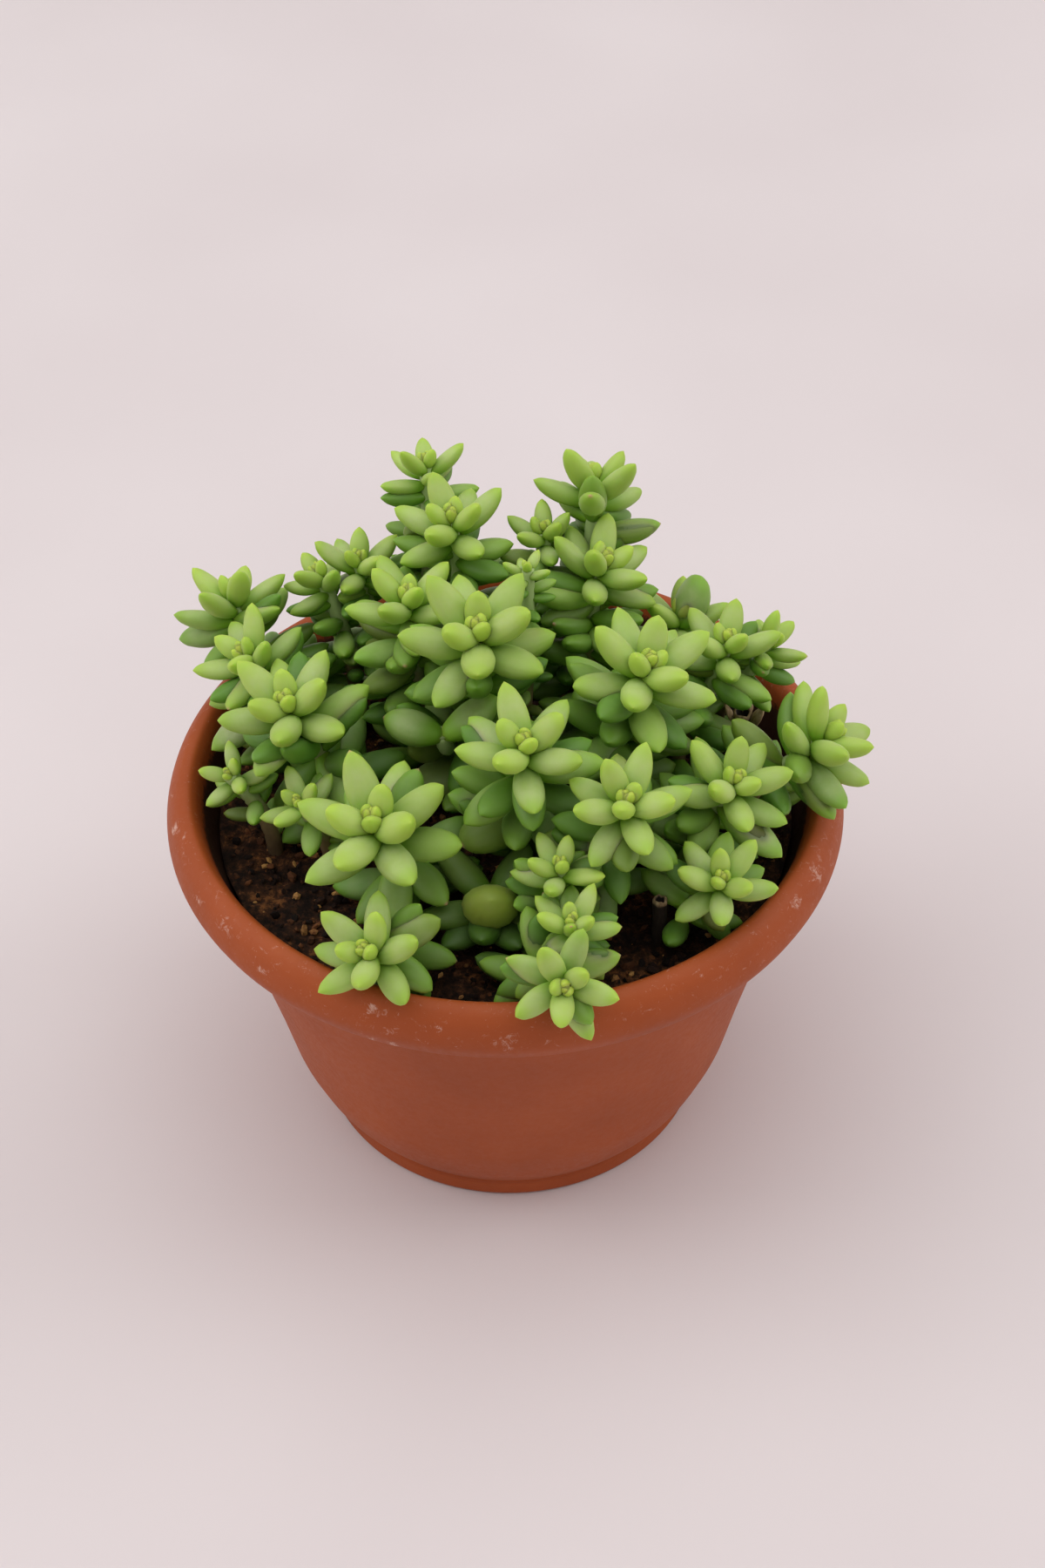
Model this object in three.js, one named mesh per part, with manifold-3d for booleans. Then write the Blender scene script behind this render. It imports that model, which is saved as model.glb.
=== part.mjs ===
// Burro's tail in a small terracotta-coloured plastic bowl pot.
//
// Millimetres, +Z up. The origin is the centre of the pot's flat base, where it meets the surface it
// stands on, and the plant is seen from -Y with +X to the right.
//
// Pieces: the moulded pot, the soil that fills it, every leafy stem as one piece with its own leaves, and
// the dry ends of two old stems. Each stem stands in a plain hole in the soil. Leaves are set round a stem
// by the golden angle, small and upright at the growing tip, large and spread below it. A leaf that would
// touch another stem, a neighbour's leaf, the pot or the soil is bent clear, and shortened if bending isn't
// enough.

import * as THREE from "three";
import { mergeVertices } from "three/addons/utils/BufferGeometryUtils.js";
import Module from "manifold-3d";

// Pot
const POT_RADIUS = 65;
const POT_HEIGHT = 80.8;
const POT_SEGMENTS = 36;
const BASE_RADIUS = 39;
const BOSS_RADIUS = 12;
const FOOT_INNER_RADIUS = 31;
const RECESS_DEPTH = 1;
const RECESS_SLOPE = 0.8;
const BASE_ROUND = 0.8;
const BASE_BAND = 3.7;
const FLOOR_TOP = 2.8;
const DRAIN_COUNT = 5;
const DRAIN_RADIUS = 3;
const DRAIN_CIRCLE = 21;
const DRAIN_SIDES = 8;

// Soil
const SOIL_TOP = 70.2;
const SOIL_SWELL = 0.55;
const SLOW_SHARE = 0.6;
const SOIL_SEGMENTS = 30;
const SOIL_GAP = 0.3;
const HOLE_DEPTH = 14;
const HOLE_SIDES = 6;

// Stems
const STEM_RADIUS = 1.6;
const STEM_SIDES = 5;
const STEM_STEPS = 4;
const STEM_GAP = 0.3;
const STEM_SINK = 12;
const STEM_FOOT = 71;
const STRAIGHT_KNOTS = 2;
const START_REACH = 0.38;
const TIP_REACH = 0.34;

// Leaves
const GOLDEN_ANGLE = THREE.MathUtils.degToRad(137.508);
const LEAF_SIDES = 4;
const BUD_SIDES = 3;
const BUD_LEAVES = 6;
const LEAF_THICKNESS = 0.8;
const LEAF_CURVE = 0.1;
const LEAF_WIDTH = 0.41;
const BUD_WIDTH = 0.66;
const OLD_WIDTH = 0.44;
const OLD_LENGTH = 1.08;
const OLD_LONGEST = 14;
const OLD_SPACING = 2.2;
const OLD_SPACING_GROWTH = 0.2;
const OLD_LOWEST = 0.12;
const OLD_SIDES = 3;
const OLD_DROOP = 4;
const OLD_START = 2;
const TANGENT_STEP = 0.02;
const UPRIGHT = 80;
const SPREAD = 78;
const SPREAD_POWER = 0.75;
const YOUNG_SHARE = 0.26;
const FULL_GROWN = 0.55;
const TIP_DEPTH = 0.1;
const STEM_END = 0.05;
const ROSETTE_DEPTH = 0.42;

// Clearing
const CLEARANCE = 0.2;
const WALL_CLEARANCE = 0.3;
const SOIL_CLEARANCE = 0.8;
const LEAF_BALL = 0.92;
const SPOTS = [0.22, 0.36, 0.5, 0.64, 0.78, 0.92];
const BENDS = [0, 8, -8, 16, -16, 26, 36];
const TURNS = [0, 9, -9, 18, -18, 27, -27];
const SHRINKS = [1, 0.92, 0.84, 0.74, 0.64];
const TURN_COST = 1.2;
const SHRINK_COST = 90;
const DOWNWARD_COST = 0.5;
const BACKWARD_COST = 0.25;
const STEM_BALLS = 24;
const BURIED_BALLS = 4;
const BALL_STEP = 2;
const NEAR_WALL = 48;
const INSIDE_POT = 57;
const OVER_RIM = 83;

// Colours
const POT_COLOUR = 0xb5573a;
const SOIL_COLOUR = 0x2b2019;
const LEAF_COLOUR = 0x93b45a;
const STALK_COLOUR = 0x8d7a5c;

// Every leafy stem: where it leaves the soil, where its growing tip is, the direction and tilt of the tip's
// lean in degrees, the length of a full leaf, the leaves of its rosette, the turn of the first leaf in
// degrees, the hand of its spiral, the older leaves below the rosette, and the leaves that point a way of
// their own, each as [share of the stem, azimuth, rise, length, width]. Two stems lost their tips and keep
// no rosette.
const STEM_ROWS = [
  ["stem_centre", [-4, 2], [-4.5, -2.5, 118], [270, 15], 15.5, 13, 30, 1, 7,
    [[0.18, 187, 4, 15, 9.5]]],
  ["stem_centre_right", [19, -4], [26.5, -8.5, 114], [315, 15], 14.5, 13, 270, -1, 6, []],
  ["stem_left_large", [-30, -3], [-40, -5.5, 104], [225, 15], 14, 13, 30, 1, 5, []],
  ["stem_front_left", [-17, -25], [-23.5, -35, 102], [240, 15], 15.5, 13, 0, 1, 5, []],
  ["stem_centre_front", [3, -18], [3.5, -27, 112], [270, 12], 13.5, 12, 210, -1, 6,
    [[0.42, 214, -9, 14, 8.8]]],
  ["stem_front_right", [16, -28], [21, -37, 107], [270, 20], 12.5, 12, 310, -1, 5, []],
  ["stem_right", [34, -19], [41.5, -25, 100], [315, 20], 12, 12, 260, 1, 5, [[0.72, 318, -28, 15, 6.5]]],
  ["stem_right_front", [32, -34], [38, -41, 91], [270, 20], 10.5, 11, 150, -1, 3, []],
  ["stem_right_rim", [44, -9], [60.5, -11.5, 98.5], [10, 50], 13, 12, 150, -1, 3, [[0.75, 300, -10, 15, 5.5]]],
  ["stem_back_left_tall", [-6, 20], [-9, 29.5, 119], [200, 5], 12.5, 12, 140, 1, 6, []],
  ["stem_back_right_tall", [14, 28], [18.5, 39.5, 120.5], [90, 40], 12.5, 10, 60, -1, 5, []],
  ["stem_left_back", [-40, 24], [-51.5, 30, 102], [90, 30], 12, 11, 120, -1, 4, [[0.8, 172, -28, 14, 6.5]]],
  ["stem_centre_left", [-15, 10], [-17.5, 15, 112], [0, 0], 12.5, 12, 350, -1, 5, [[0.72, 225, 12, 15, 6]]],
  ["stem_left_middle", [-39, 8], [-49, 11, 102], [195, 30], 11.5, 11, 90, 1, 4, [[0.6, 215, -22, 16, 6.8]]],
  ["stem_back_right", [18, 16], [20, 24, 112], [0, 20], 12.5, 12, 60, -1, 5, []],
  ["stem_right_back", [33, 6], [42.5, 9.5, 104], [0, 5], 11.5, 11, 250, 1, 5, []],
  ["stem_front_left_rim", [-20, -41], [-25, -54.5, 89], [230, 30], 12, 12, 240, -1, 3, []],
  ["stem_front_rim", [5, -48], [9.5, -64, 88.5], [275, 50], 11, 11, 90, -1, 3, []],
  ["stem_front_middle", [9, -43], [11, -52.5, 93], [270, 10], 9, 10, 20, -1, 3, []],
  ["stem_front_centre", [6, -33], [9.3, -42.5, 97], [0, 0], 9, 10, 10, 1, 4, []],
  ["stem_left_low", [-44, -10], [-51.3, -9.7, 90], [225, 30], 7.5, 8, 120, 1, 2, []],
  ["stem_left_small", [-33, -15], [-38, -18.7, 91], [225, 25], 8.5, 9, 70, -1, 3, []],
  ["stem_back_left", [-22, 31], [-27.3, 34, 106], [0, 0], 10.5, 10, 140, -1, 5, []],
  ["stem_back_left_far", [-29, 27], [-35.5, 32.5, 104], [150, 30], 9.5, 10, 60, 1, 4, []],
  ["stem_back_middle", [4, 29], [8.6, 31.5, 114], [0, 0], 9, 10, 260, 1, 5, []],
  ["stem_back_rear", [-15, 36], [-14, 46, 120], [100, 20], 9.5, 10, 40, 1, 5, []],
  ["stem_right_far", [41, 17], [51.5, 14, 100], [20, 30], 9, 9, 0, 1, 4, []],
  ["stem_small_middle", [4, 13], [5, 14.7, 118], [90, 10], 5.5, 8, 0, 1, 4, []],
  ["stem_right_rear", [31, 24], [35, 27, 97], [60, 10], 11, 9, 30, 1, 3, [[0.85, 20, 62, 12, 7.8]]],
  ["stem_cut_middle", [-10, 15], [-11.5, -6.5, 97], [120, 10], 14, 0, 0, 1, 0,
    [[0.95, 165, 8, 11.5, 7.6], [0.95, 18, 22, 12.5, 7.2], [0.7, 100, 15, 12, 6.4]]],
  ["stem_cut_front", [-3, -33], [-3, -34, 80], [270, 10], 14, 0, 0, 1, 0,
    [[0.75, 268, 44, 13, 10.6], [0.95, 140, 30, 15, 6.4], [0.7, 200, 2, 14, 6],
      [0.5, 325, 8, 12, 5.8], [0.8, 50, 25, 13, 6]]],
];
const STEMS = STEM_ROWS.map(([name, root, tip, lean, leaf, rosette, phase, hand, old, aimed]) => ({
  name, root, tip, lean, leaf, rosette, phase, hand, old, aimed,
}));

// Dry ends of two old stems: place on the soil, height above it and radius
const DRY_STALKS = [
  { name: "dry_stalk_front", at: [27.6, -35.9], top: 81, radius: 1.35 },
  { name: "dry_stalk_right", at: [46.4, 12.4], top: 83, radius: 1.8 },
];
const STALK_CUP = 1.4;
const STALK_WALL = 0.65;
const STALK_ROUND = 0.25;
const STALK_SIDES = 8;

const MERGE = 1e-4;

const wasm = await Module();
wasm.setup();

const vec = (x, y, z) => new THREE.Vector3(x, y, z);
const plus = (a, b, k = 1) => a.clone().addScaledVector(b, k);

function solid(geometry) {
  const bare = geometry.clone();
  bare.deleteAttribute("normal");
  bare.deleteAttribute("uv");
  const merged = mergeVertices(bare, MERGE);
  return new wasm.Manifold(
    new wasm.Mesh({
      numProp: 3,
      vertProperties: merged.attributes.position.array,
      triVerts: new Uint32Array(merged.index.array),
    }),
  );
}

function geometryOf(manifold) {
  const mesh = manifold.getMesh();
  const geometry = new THREE.BufferGeometry();
  geometry.setAttribute("position", new THREE.BufferAttribute(mesh.vertProperties, 3));
  geometry.setIndex(new THREE.BufferAttribute(mesh.triVerts, 1));
  geometry.computeVertexNormals();
  return geometry;
}

// A profile of [radius, height] pairs turned about +Z
function turned(profile, segments) {
  const geometry = new THREE.LatheGeometry(profile.map(([r, z]) => new THREE.Vector2(r, z)), segments);
  geometry.rotateX(Math.PI / 2);
  return geometry;
}

// An upright prism with its axis along +Z
function pin(x, y, low, high, radius, sides) {
  const geometry = new THREE.CylinderGeometry(radius, radius, high - low, sides);
  geometry.rotateX(Math.PI / 2);
  geometry.translate(x, y, (low + high) / 2);
  return solid(geometry);
}

// The largest body of a union: loose scraps and the inner faces of sealed hollows go
function largest(manifold) {
  return manifold.decompose().reduce((a, b) => (b.volume() > a.volume() ? b : a));
}

// Pot: flat boss and foot ring with a shallow recess between them, a small band round the base, a bulging
// wall, and a rolled rim whose skirt hangs clear of the wall
const RIM_PROFILE = [
  [58.7, 79.2], [60.1, POT_HEIGHT], [62.1, 80.3], [63.8, 78.4], [64.8, 75.4], [POT_RADIUS, 73], [63.6, 69.9],
];
const WALL_OUTSIDE = [
  [38.6, 4.2], [42.4, 9.8], [45.5, 18], [48.3, 31], [51.3, 43.6], [57.3, 70], [58.6, 75.4],
];
const WALL_INSIDE = [
  [55.5, 69.5], [49.5, 43.6], [46.5, 31], [43.6, 18], [40.2, 9.8], [36, 4.2], [34.4, FLOOR_TOP],
];
const POT_PROFILE = [
  [0, 0], [BOSS_RADIUS, 0], [BOSS_RADIUS + RECESS_SLOPE, RECESS_DEPTH],
  [FOOT_INNER_RADIUS - RECESS_SLOPE, RECESS_DEPTH], [FOOT_INNER_RADIUS, 0],
  [BASE_RADIUS - BASE_ROUND, 0], [BASE_RADIUS, BASE_ROUND], [BASE_RADIUS, BASE_BAND],
  ...WALL_OUTSIDE,
  [61.9, 75.6], [62, 69.9],
  ...RIM_PROFILE.toReversed(),
  ...WALL_INSIDE,
  [0, FLOOR_TOP],
];

function pot() {
  let body = solid(turned(POT_PROFILE, POT_SEGMENTS));
  for (let i = 0; i < DRAIN_COUNT; i++) {
    const angle = (i / DRAIN_COUNT) * 2 * Math.PI;
    const x = DRAIN_CIRCLE * Math.cos(angle);
    const y = DRAIN_CIRCLE * Math.sin(angle);
    body = body.subtract(pin(x, y, -FLOOR_TOP, 2 * FLOOR_TOP, DRAIN_RADIUS, DRAIN_SIDES));
  }
  return body;
}

// Soil: fills the pot to a little below the rim, with a gently uneven top and a plain hole for each stem
const SOIL_SIDE = WALL_INSIDE.slice(1).map(([r, z]) => [r - SOIL_GAP, z + SOIL_GAP]);
const SOIL_EDGE = 55.2;
const SLOW_ALONG_X = { pitch: 0.11, start: 0.5 };
const SLOW_ALONG_Y = { pitch: 0.13, start: -0.4 };
const QUICK_SWELL = { pitchX: 0.31, pitchY: -0.23, start: 1.1 };
const SOIL_RINGS = [SOIL_EDGE, 44, 30, 15];

function soilHeight(x, y) {
  const slow = Math.sin(SLOW_ALONG_X.pitch * x + SLOW_ALONG_X.start)
    * Math.cos(SLOW_ALONG_Y.pitch * y + SLOW_ALONG_Y.start);
  const quick = Math.sin(QUICK_SWELL.pitchX * x + QUICK_SWELL.pitchY * y + QUICK_SWELL.start);
  return SOIL_TOP + SOIL_SWELL * (SLOW_SHARE * slow + (1 - SLOW_SHARE) * quick);
}

function soil() {
  const profile = [
    [0, FLOOR_TOP + SOIL_GAP],
    ...SOIL_SIDE.toReversed(),
    ...SOIL_RINGS.map((r) => [r, SOIL_TOP]),
    [0, SOIL_TOP],
  ];
  const geometry = turned(profile, SOIL_SEGMENTS);
  const place = geometry.attributes.position;
  for (let i = 0; i < place.count; i++) {
    if (place.getZ(i) > SOIL_SIDE[0][1] + SOIL_GAP) {
      place.setZ(i, soilHeight(place.getX(i), place.getY(i)));
    }
  }
  let body = solid(geometry);
  const holes = [
    ...STEMS.map(({ root }) => [root, STEM_RADIUS]),
    ...DRY_STALKS.map(({ at, radius }) => [at, radius]),
  ];
  for (const [at, radius] of holes) {
    const corner = (radius + STEM_GAP) / Math.cos(Math.PI / HOLE_SIDES);
    body = body.subtract(pin(...at, SOIL_TOP - HOLE_DEPTH, POT_HEIGHT, corner, HOLE_SIDES));
  }
  return body;
}

// Directions
function leanDirection([azimuth, tilt]) {
  const a = THREE.MathUtils.degToRad(azimuth);
  const t = THREE.MathUtils.degToRad(tilt);
  return vec(Math.sin(t) * Math.cos(a), Math.sin(t) * Math.sin(a), Math.cos(t));
}

// Two directions across d, the first one nearest +X
function across(d) {
  const first = plus(vec(1, 0, 0), d, -d.x).normalize();
  return [first, d.clone().cross(first)];
}

// Stem: straight up out of its hole, then in one curve to its tip
function stemCurve({ root, tip, lean }) {
  const foot = vec(...root, STEM_FOOT);
  const end = vec(...tip);
  const direction = leanDirection(lean);
  const reach = foot.distanceTo(end);
  return {
    foot,
    end,
    direction,
    reach,
    curve: new THREE.CubicBezierCurve3(
      foot,
      plus(foot, vec(0, 0, 1), reach * START_REACH),
      plus(end, direction, -reach * TIP_REACH),
      end,
    ),
  };
}

// Half-width of a leaf as a share of its widest place, from its root at 0 to its tip at 1
const LEAF_OUTLINE = [
  [0, 0.3], [0.12, 0.55], [0.3, 0.88], [0.5, 1], [0.68, 0.95], [0.82, 0.76], [0.93, 0.44], [1, 0],
];

// Spindles as [share of the half-width, place along the leaf] pairs
const LEAF_SPINDLE = [[0, 0.04], [0.94, 0.4], [0.92, 0.74], [0, 1]];
const BUD_SPINDLE = [[0, 0], [1, 0.55], [0, 1]];

function outline(t) {
  const next = LEAF_OUTLINE.findIndex(([at]) => t <= at);
  const [b, high] = LEAF_OUTLINE[Math.max(next, 1)];
  const [a, low] = LEAF_OUTLINE[Math.max(next, 1) - 1];
  return low + ((high - low) * (t - a)) / (b - a);
}

function leafPoint(leaf, t) {
  return plus(plus(leaf.base, leaf.along, leaf.length * t), leaf.up, leaf.length * LEAF_CURVE * t * t);
}

// Distance in the r-z plane from the pot's rim and upper wall, negative inside them
const RIM_WALL = [WALL_INSIDE[0], ...RIM_PROFILE];

function rimGap(r, z) {
  let best = Infinity;
  let side = 1;
  for (let i = 1; i < RIM_WALL.length; i++) {
    const [r0, z0] = RIM_WALL[i - 1];
    const [r1, z1] = RIM_WALL[i];
    const dr = r1 - r0;
    const dz = z1 - z0;
    const share = ((r - r0) * dr + (z - z0) * dz) / (dr * dr + dz * dz);
    const t = Math.min(1, Math.max(0, share));
    const qr = r - r0 - dr * t;
    const qz = z - z0 - dz * t;
    const distance = Math.hypot(qr, qz);
    if (distance < best) {
      best = distance;
      side = dr * qz - dz * qr >= 0 ? 1 : -1;
    }
  }
  return best * side;
}

// Balls that fill each stem and leaf already placed: [x, y, z, radius, owner]
const taken = [];

function isClear(balls, owner) {
  for (const [x, y, z, q] of balls) {
    const r = Math.hypot(x, y);
    if (r < INSIDE_POT && z - q < STEM_FOOT + SOIL_CLEARANCE) return false;
    if (r > NEAR_WALL && z - q < OVER_RIM && rimGap(r, z) < q + WALL_CLEARANCE) return false;
  }
  for (const [x, y, z, q] of balls) {
    for (const other of taken) {
      if (other[4] === owner) continue;
      const dx = other[0] - x;
      const dy = other[1] - y;
      const dz = other[2] - z;
      const apart = other[3] + q + CLEARANCE;
      if (dx * dx + dy * dy + dz * dz < apart * apart) return false;
    }
  }
  return true;
}

const TRIES = [];
for (const bend of BENDS) {
  for (const turn of TURNS) {
    for (const shrink of SHRINKS) {
      const cost = Math.abs(bend) + TURN_COST * Math.abs(turn) + SHRINK_COST * (1 - shrink);
      const order = cost + (bend < 0 ? DOWNWARD_COST : 0) + (turn < 0 ? BACKWARD_COST : 0);
      TRIES.push({ order, bend, turn, shrink });
    }
  }
}
TRIES.sort((a, b) => a.order - b.order);

function leafBalls(leaf) {
  return SPOTS.map((t) => {
    const p = leafPoint(leaf, t);
    return [p.x, p.y, p.z, (leaf.width / 2) * outline(t) * LEAF_BALL];
  });
}

// A leaf at a place on its stem: the first try that is clear of everything else
function placeLeaf(owner, form, base, direction, bearing, rise, length, width) {
  const [first, second] = across(direction);
  for (const { bend, turn, shrink } of TRIES) {
    const elevation = THREE.MathUtils.degToRad(rise + bend);
    const azimuth = bearing + THREE.MathUtils.degToRad(turn);
    const outward = plus(first.clone().multiplyScalar(Math.cos(azimuth)), second, Math.sin(azimuth));
    const leaf = {
      base,
      along: plus(outward.clone().multiplyScalar(Math.cos(elevation)), direction, Math.sin(elevation)),
      up: plus(outward.clone().multiplyScalar(-Math.sin(elevation)), direction, Math.cos(elevation)),
      length: length * shrink,
      width: (width * (1 + shrink)) / 2,
      ...form,
    };
    const balls = leafBalls(leaf);
    if (isClear(balls, owner)) {
      for (const ball of balls) taken.push([...ball, owner]);
      return leaf;
    }
  }
  return null;
}

const BUD = { spindle: BUD_SPINDLE, sides: BUD_SIDES };
const FULL = { spindle: LEAF_SPINDLE, sides: LEAF_SIDES };
const OLD = { spindle: LEAF_SPINDLE, sides: OLD_SIDES };

function bearingOf(stem, k) {
  return THREE.MathUtils.degToRad(stem.phase) + stem.hand * k * GOLDEN_ANGLE;
}

// Rosette leaf k: upright and small at the tip, spread and full-grown at the bottom
function rosetteLeaf(stem, owner, k) {
  const { end, direction } = stem.path;
  const t = k / (stem.rosette - 1);
  const rise = UPRIGHT - SPREAD * t ** SPREAD_POWER;
  const grown = Math.min(1, t / FULL_GROWN);
  const young = 1 - grown * grown * (3 - 2 * grown);
  const length = stem.leaf * (1 - (1 - YOUNG_SHARE) * young);
  const base = plus(end, direction, -stem.leaf * (TIP_DEPTH + ROSETTE_DEPTH * t));
  const width = length * (LEAF_WIDTH + (BUD_WIDTH - LEAF_WIDTH) * young);
  const form = k < BUD_LEAVES ? BUD : FULL;
  return placeLeaf(owner, form, base, direction, bearingOf(stem, k), rise, length, width);
}

// A leaf that points a way of its own
function aimedLeaf(stem, owner, [share, azimuth, rise, length, width]) {
  const base = stem.path.curve.getPoint(share);
  const bearing = THREE.MathUtils.degToRad(azimuth);
  return placeLeaf(owner, FULL, base, vec(0, 0, 1), bearing, rise, length, width);
}

// Older leaf m below the rosette: longer, level or drooping, further apart along the stem
function oldLeaf(stem, owner, m) {
  const { reach, curve } = stem.path;
  const below = OLD_SPACING * (m + 1) * (1 + OLD_SPACING_GROWTH * m);
  const t = 1 - (stem.leaf * (TIP_DEPTH + ROSETTE_DEPTH) + below) / reach;
  if (t < OLD_LOWEST) return null;
  const base = curve.getPoint(t);
  const direction = curve.getPoint(t + TANGENT_STEP).sub(base).normalize();
  const length = Math.min(stem.leaf, OLD_LONGEST) * OLD_LENGTH;
  const rise = OLD_START - OLD_DROOP * m;
  const bearing = bearingOf(stem, stem.rosette + m);
  return placeLeaf(owner, OLD, base, direction, bearing, rise, length, length * OLD_WIDTH);
}

// The leaf's spindle, flattened, and carried along its curved axis
function leafSolid(leaf) {
  const profile = leaf.spindle.map(([r, y]) => new THREE.Vector2(r, y));
  const geometry = new THREE.LatheGeometry(profile, leaf.sides);
  const aside = leaf.along.clone().cross(leaf.up);
  const place = geometry.attributes.position;
  for (let i = 0; i < place.count; i++) {
    const p = leafPoint(leaf, place.getY(i));
    p.addScaledVector(leaf.up, (place.getZ(i) * leaf.width * LEAF_THICKNESS) / 2);
    p.addScaledVector(aside, (place.getX(i) * leaf.width) / 2);
    place.setXYZ(i, p.x, p.y, p.z);
  }
  return solid(geometry);
}

function polygon(radius, sides) {
  const points = [];
  for (let i = 0; i < sides; i++) {
    const angle = (i / sides) * 2 * Math.PI;
    points.push(new THREE.Vector2(radius * Math.cos(angle), radius * Math.sin(angle)));
  }
  return new THREE.Shape(points);
}

// A path through knots, with one section of the tube at each knot
class KnotPath extends THREE.Curve {
  constructor(knots) {
    super();
    this.knots = knots;
    this.last = knots.length - 1;
  }

  getPointAt(u) {
    return this.knots[Math.round(u * this.last)];
  }

  getTangentAt(u) {
    const i = Math.round(u * this.last);
    if (i < STRAIGHT_KNOTS) return vec(0, 0, 1);
    return this.knots[Math.min(this.last, i + 1)].clone().sub(this.knots[i - 1]).normalize();
  }
}

function stemSolid({ foot, end, direction, curve }, leafLength) {
  const knots = [plus(foot, vec(0, 0, 1), -STEM_SINK)];
  for (let i = 0; i < STEM_STEPS; i++) knots.push(curve.getPoint(i / STEM_STEPS));
  knots.push(plus(end, direction, -leafLength * STEM_END));
  const path = new KnotPath(knots);
  const section = polygon(STEM_RADIUS, STEM_SIDES);
  return solid(new THREE.ExtrudeGeometry(section, { steps: path.last, extrudePath: path }));
}

function dryStalk({ at, top, radius }) {
  const low = STEM_FOOT - STEM_SINK;
  const inside = radius - STALK_WALL;
  const profile = [
    [0, low], [radius, low], [radius, top - STALK_ROUND], [radius - STALK_ROUND, top], [inside, top],
    [inside, top - STALK_CUP], [0, top - STALK_CUP],
  ];
  const geometry = turned(profile, STALK_SIDES);
  geometry.translate(...at, 0);
  return solid(geometry);
}

// Stems are placed first, then the rosettes, the leaves that point their own way, and the older leaves
STEMS.forEach((stem, owner) => {
  stem.path = stemCurve(stem);
  stem.leaves = [];
  for (let i = 0; i <= STEM_BALLS; i++) {
    taken.push([...stem.path.curve.getPoint(i / STEM_BALLS), STEM_RADIUS, owner]);
  }
  for (let i = 1; i <= BURIED_BALLS; i++) {
    taken.push([...stem.root, STEM_FOOT - BALL_STEP * i, STEM_RADIUS, owner]);
  }
});
DRY_STALKS.forEach(({ at, top, radius }, i) => {
  for (let z = STEM_FOOT; z <= top; z += BALL_STEP) taken.push([...at, z, radius, STEMS.length + i]);
});
STEMS.forEach((stem, owner) => {
  for (let k = 0; k < stem.rosette; k++) stem.leaves.push(rosetteLeaf(stem, owner, k));
});
STEMS.forEach((stem, owner) => {
  for (const leaf of stem.aimed) stem.leaves.push(aimedLeaf(stem, owner, leaf));
});
STEMS.forEach((stem, owner) => {
  for (let m = 0; m < stem.old; m++) stem.leaves.push(oldLeaf(stem, owner, m));
});

const material = (colour, roughness) =>
  new THREE.MeshStandardMaterial({ color: colour, roughness, metalness: 0 });
const potMaterial = material(POT_COLOUR, 0.62);
const soilMaterial = material(SOIL_COLOUR, 0.95);
const leafMaterial = material(LEAF_COLOUR, 0.55);
const stalkMaterial = material(STALK_COLOUR, 0.85);

const plant = new THREE.Group();

function addPiece(name, manifold, look) {
  const mesh = new THREE.Mesh(geometryOf(manifold), look);
  mesh.name = name;
  plant.add(mesh);
}

addPiece("pot", pot(), potMaterial);
addPiece("soil", soil(), soilMaterial);
for (const stem of STEMS) {
  const leaves = stem.leaves.filter((leaf) => leaf !== null);
  const joined = leaves.reduce((body, leaf) => body.add(leafSolid(leaf)), stemSolid(stem.path, stem.leaf));
  addPiece(stem.name, largest(joined), leafMaterial);
}
for (const stalk of DRY_STALKS) addPiece(stalk.name, dryStalk(stalk), stalkMaterial);

export default plant;
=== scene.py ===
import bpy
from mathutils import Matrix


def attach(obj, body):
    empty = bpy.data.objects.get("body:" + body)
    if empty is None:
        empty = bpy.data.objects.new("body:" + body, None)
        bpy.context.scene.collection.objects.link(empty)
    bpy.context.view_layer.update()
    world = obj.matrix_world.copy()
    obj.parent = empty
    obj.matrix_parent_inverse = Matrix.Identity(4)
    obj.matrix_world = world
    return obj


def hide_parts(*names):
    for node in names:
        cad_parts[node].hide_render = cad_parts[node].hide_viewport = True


bl_info = {
    "name": "Potted burro's tail",
    "version": (1, 0, 0),
    "blender": (4, 5, 0),
    "location": "3D View > Sidebar > Plant",
    "description": "A trailing succulent with plump leaves in a small moulded bowl pot",
    "category": "Object",
}

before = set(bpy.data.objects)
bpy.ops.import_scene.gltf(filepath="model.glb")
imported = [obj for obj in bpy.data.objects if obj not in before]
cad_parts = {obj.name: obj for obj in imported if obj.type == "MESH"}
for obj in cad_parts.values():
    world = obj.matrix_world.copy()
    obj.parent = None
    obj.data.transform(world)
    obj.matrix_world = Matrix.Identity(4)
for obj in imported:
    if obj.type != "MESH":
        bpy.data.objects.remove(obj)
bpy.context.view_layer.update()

import math
import random
from itertools import combinations

import bpy
import numpy as np
from mathutils import Matrix, Vector

MM = 0.001
UP = np.array([0.0, 0.0, 1.0])

# Pot, in millimetres
POT_RADIUS = 65.0
POT_HEIGHT = 80.8
BASE_RADIUS = 39.0
BASE_ROUND = 0.8
BASE_BAND = 3.7
BOSS_RADIUS = 12.0
FOOT_INNER_RADIUS = 31.0
RECESS_DEPTH = 1.0
RECESS_SLOPE = 0.8
FLOOR_TOP = 2.8
DRAIN_COUNT = 5
DRAIN_RADIUS = 3.0
DRAIN_CIRCLE = 21.0
POT_SIDES = 192
DRAIN_SIDES = 32
CORNER_CUT = 2.2
CORNER_RINGS = 5
CORNER_SHARE = 0.45

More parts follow.
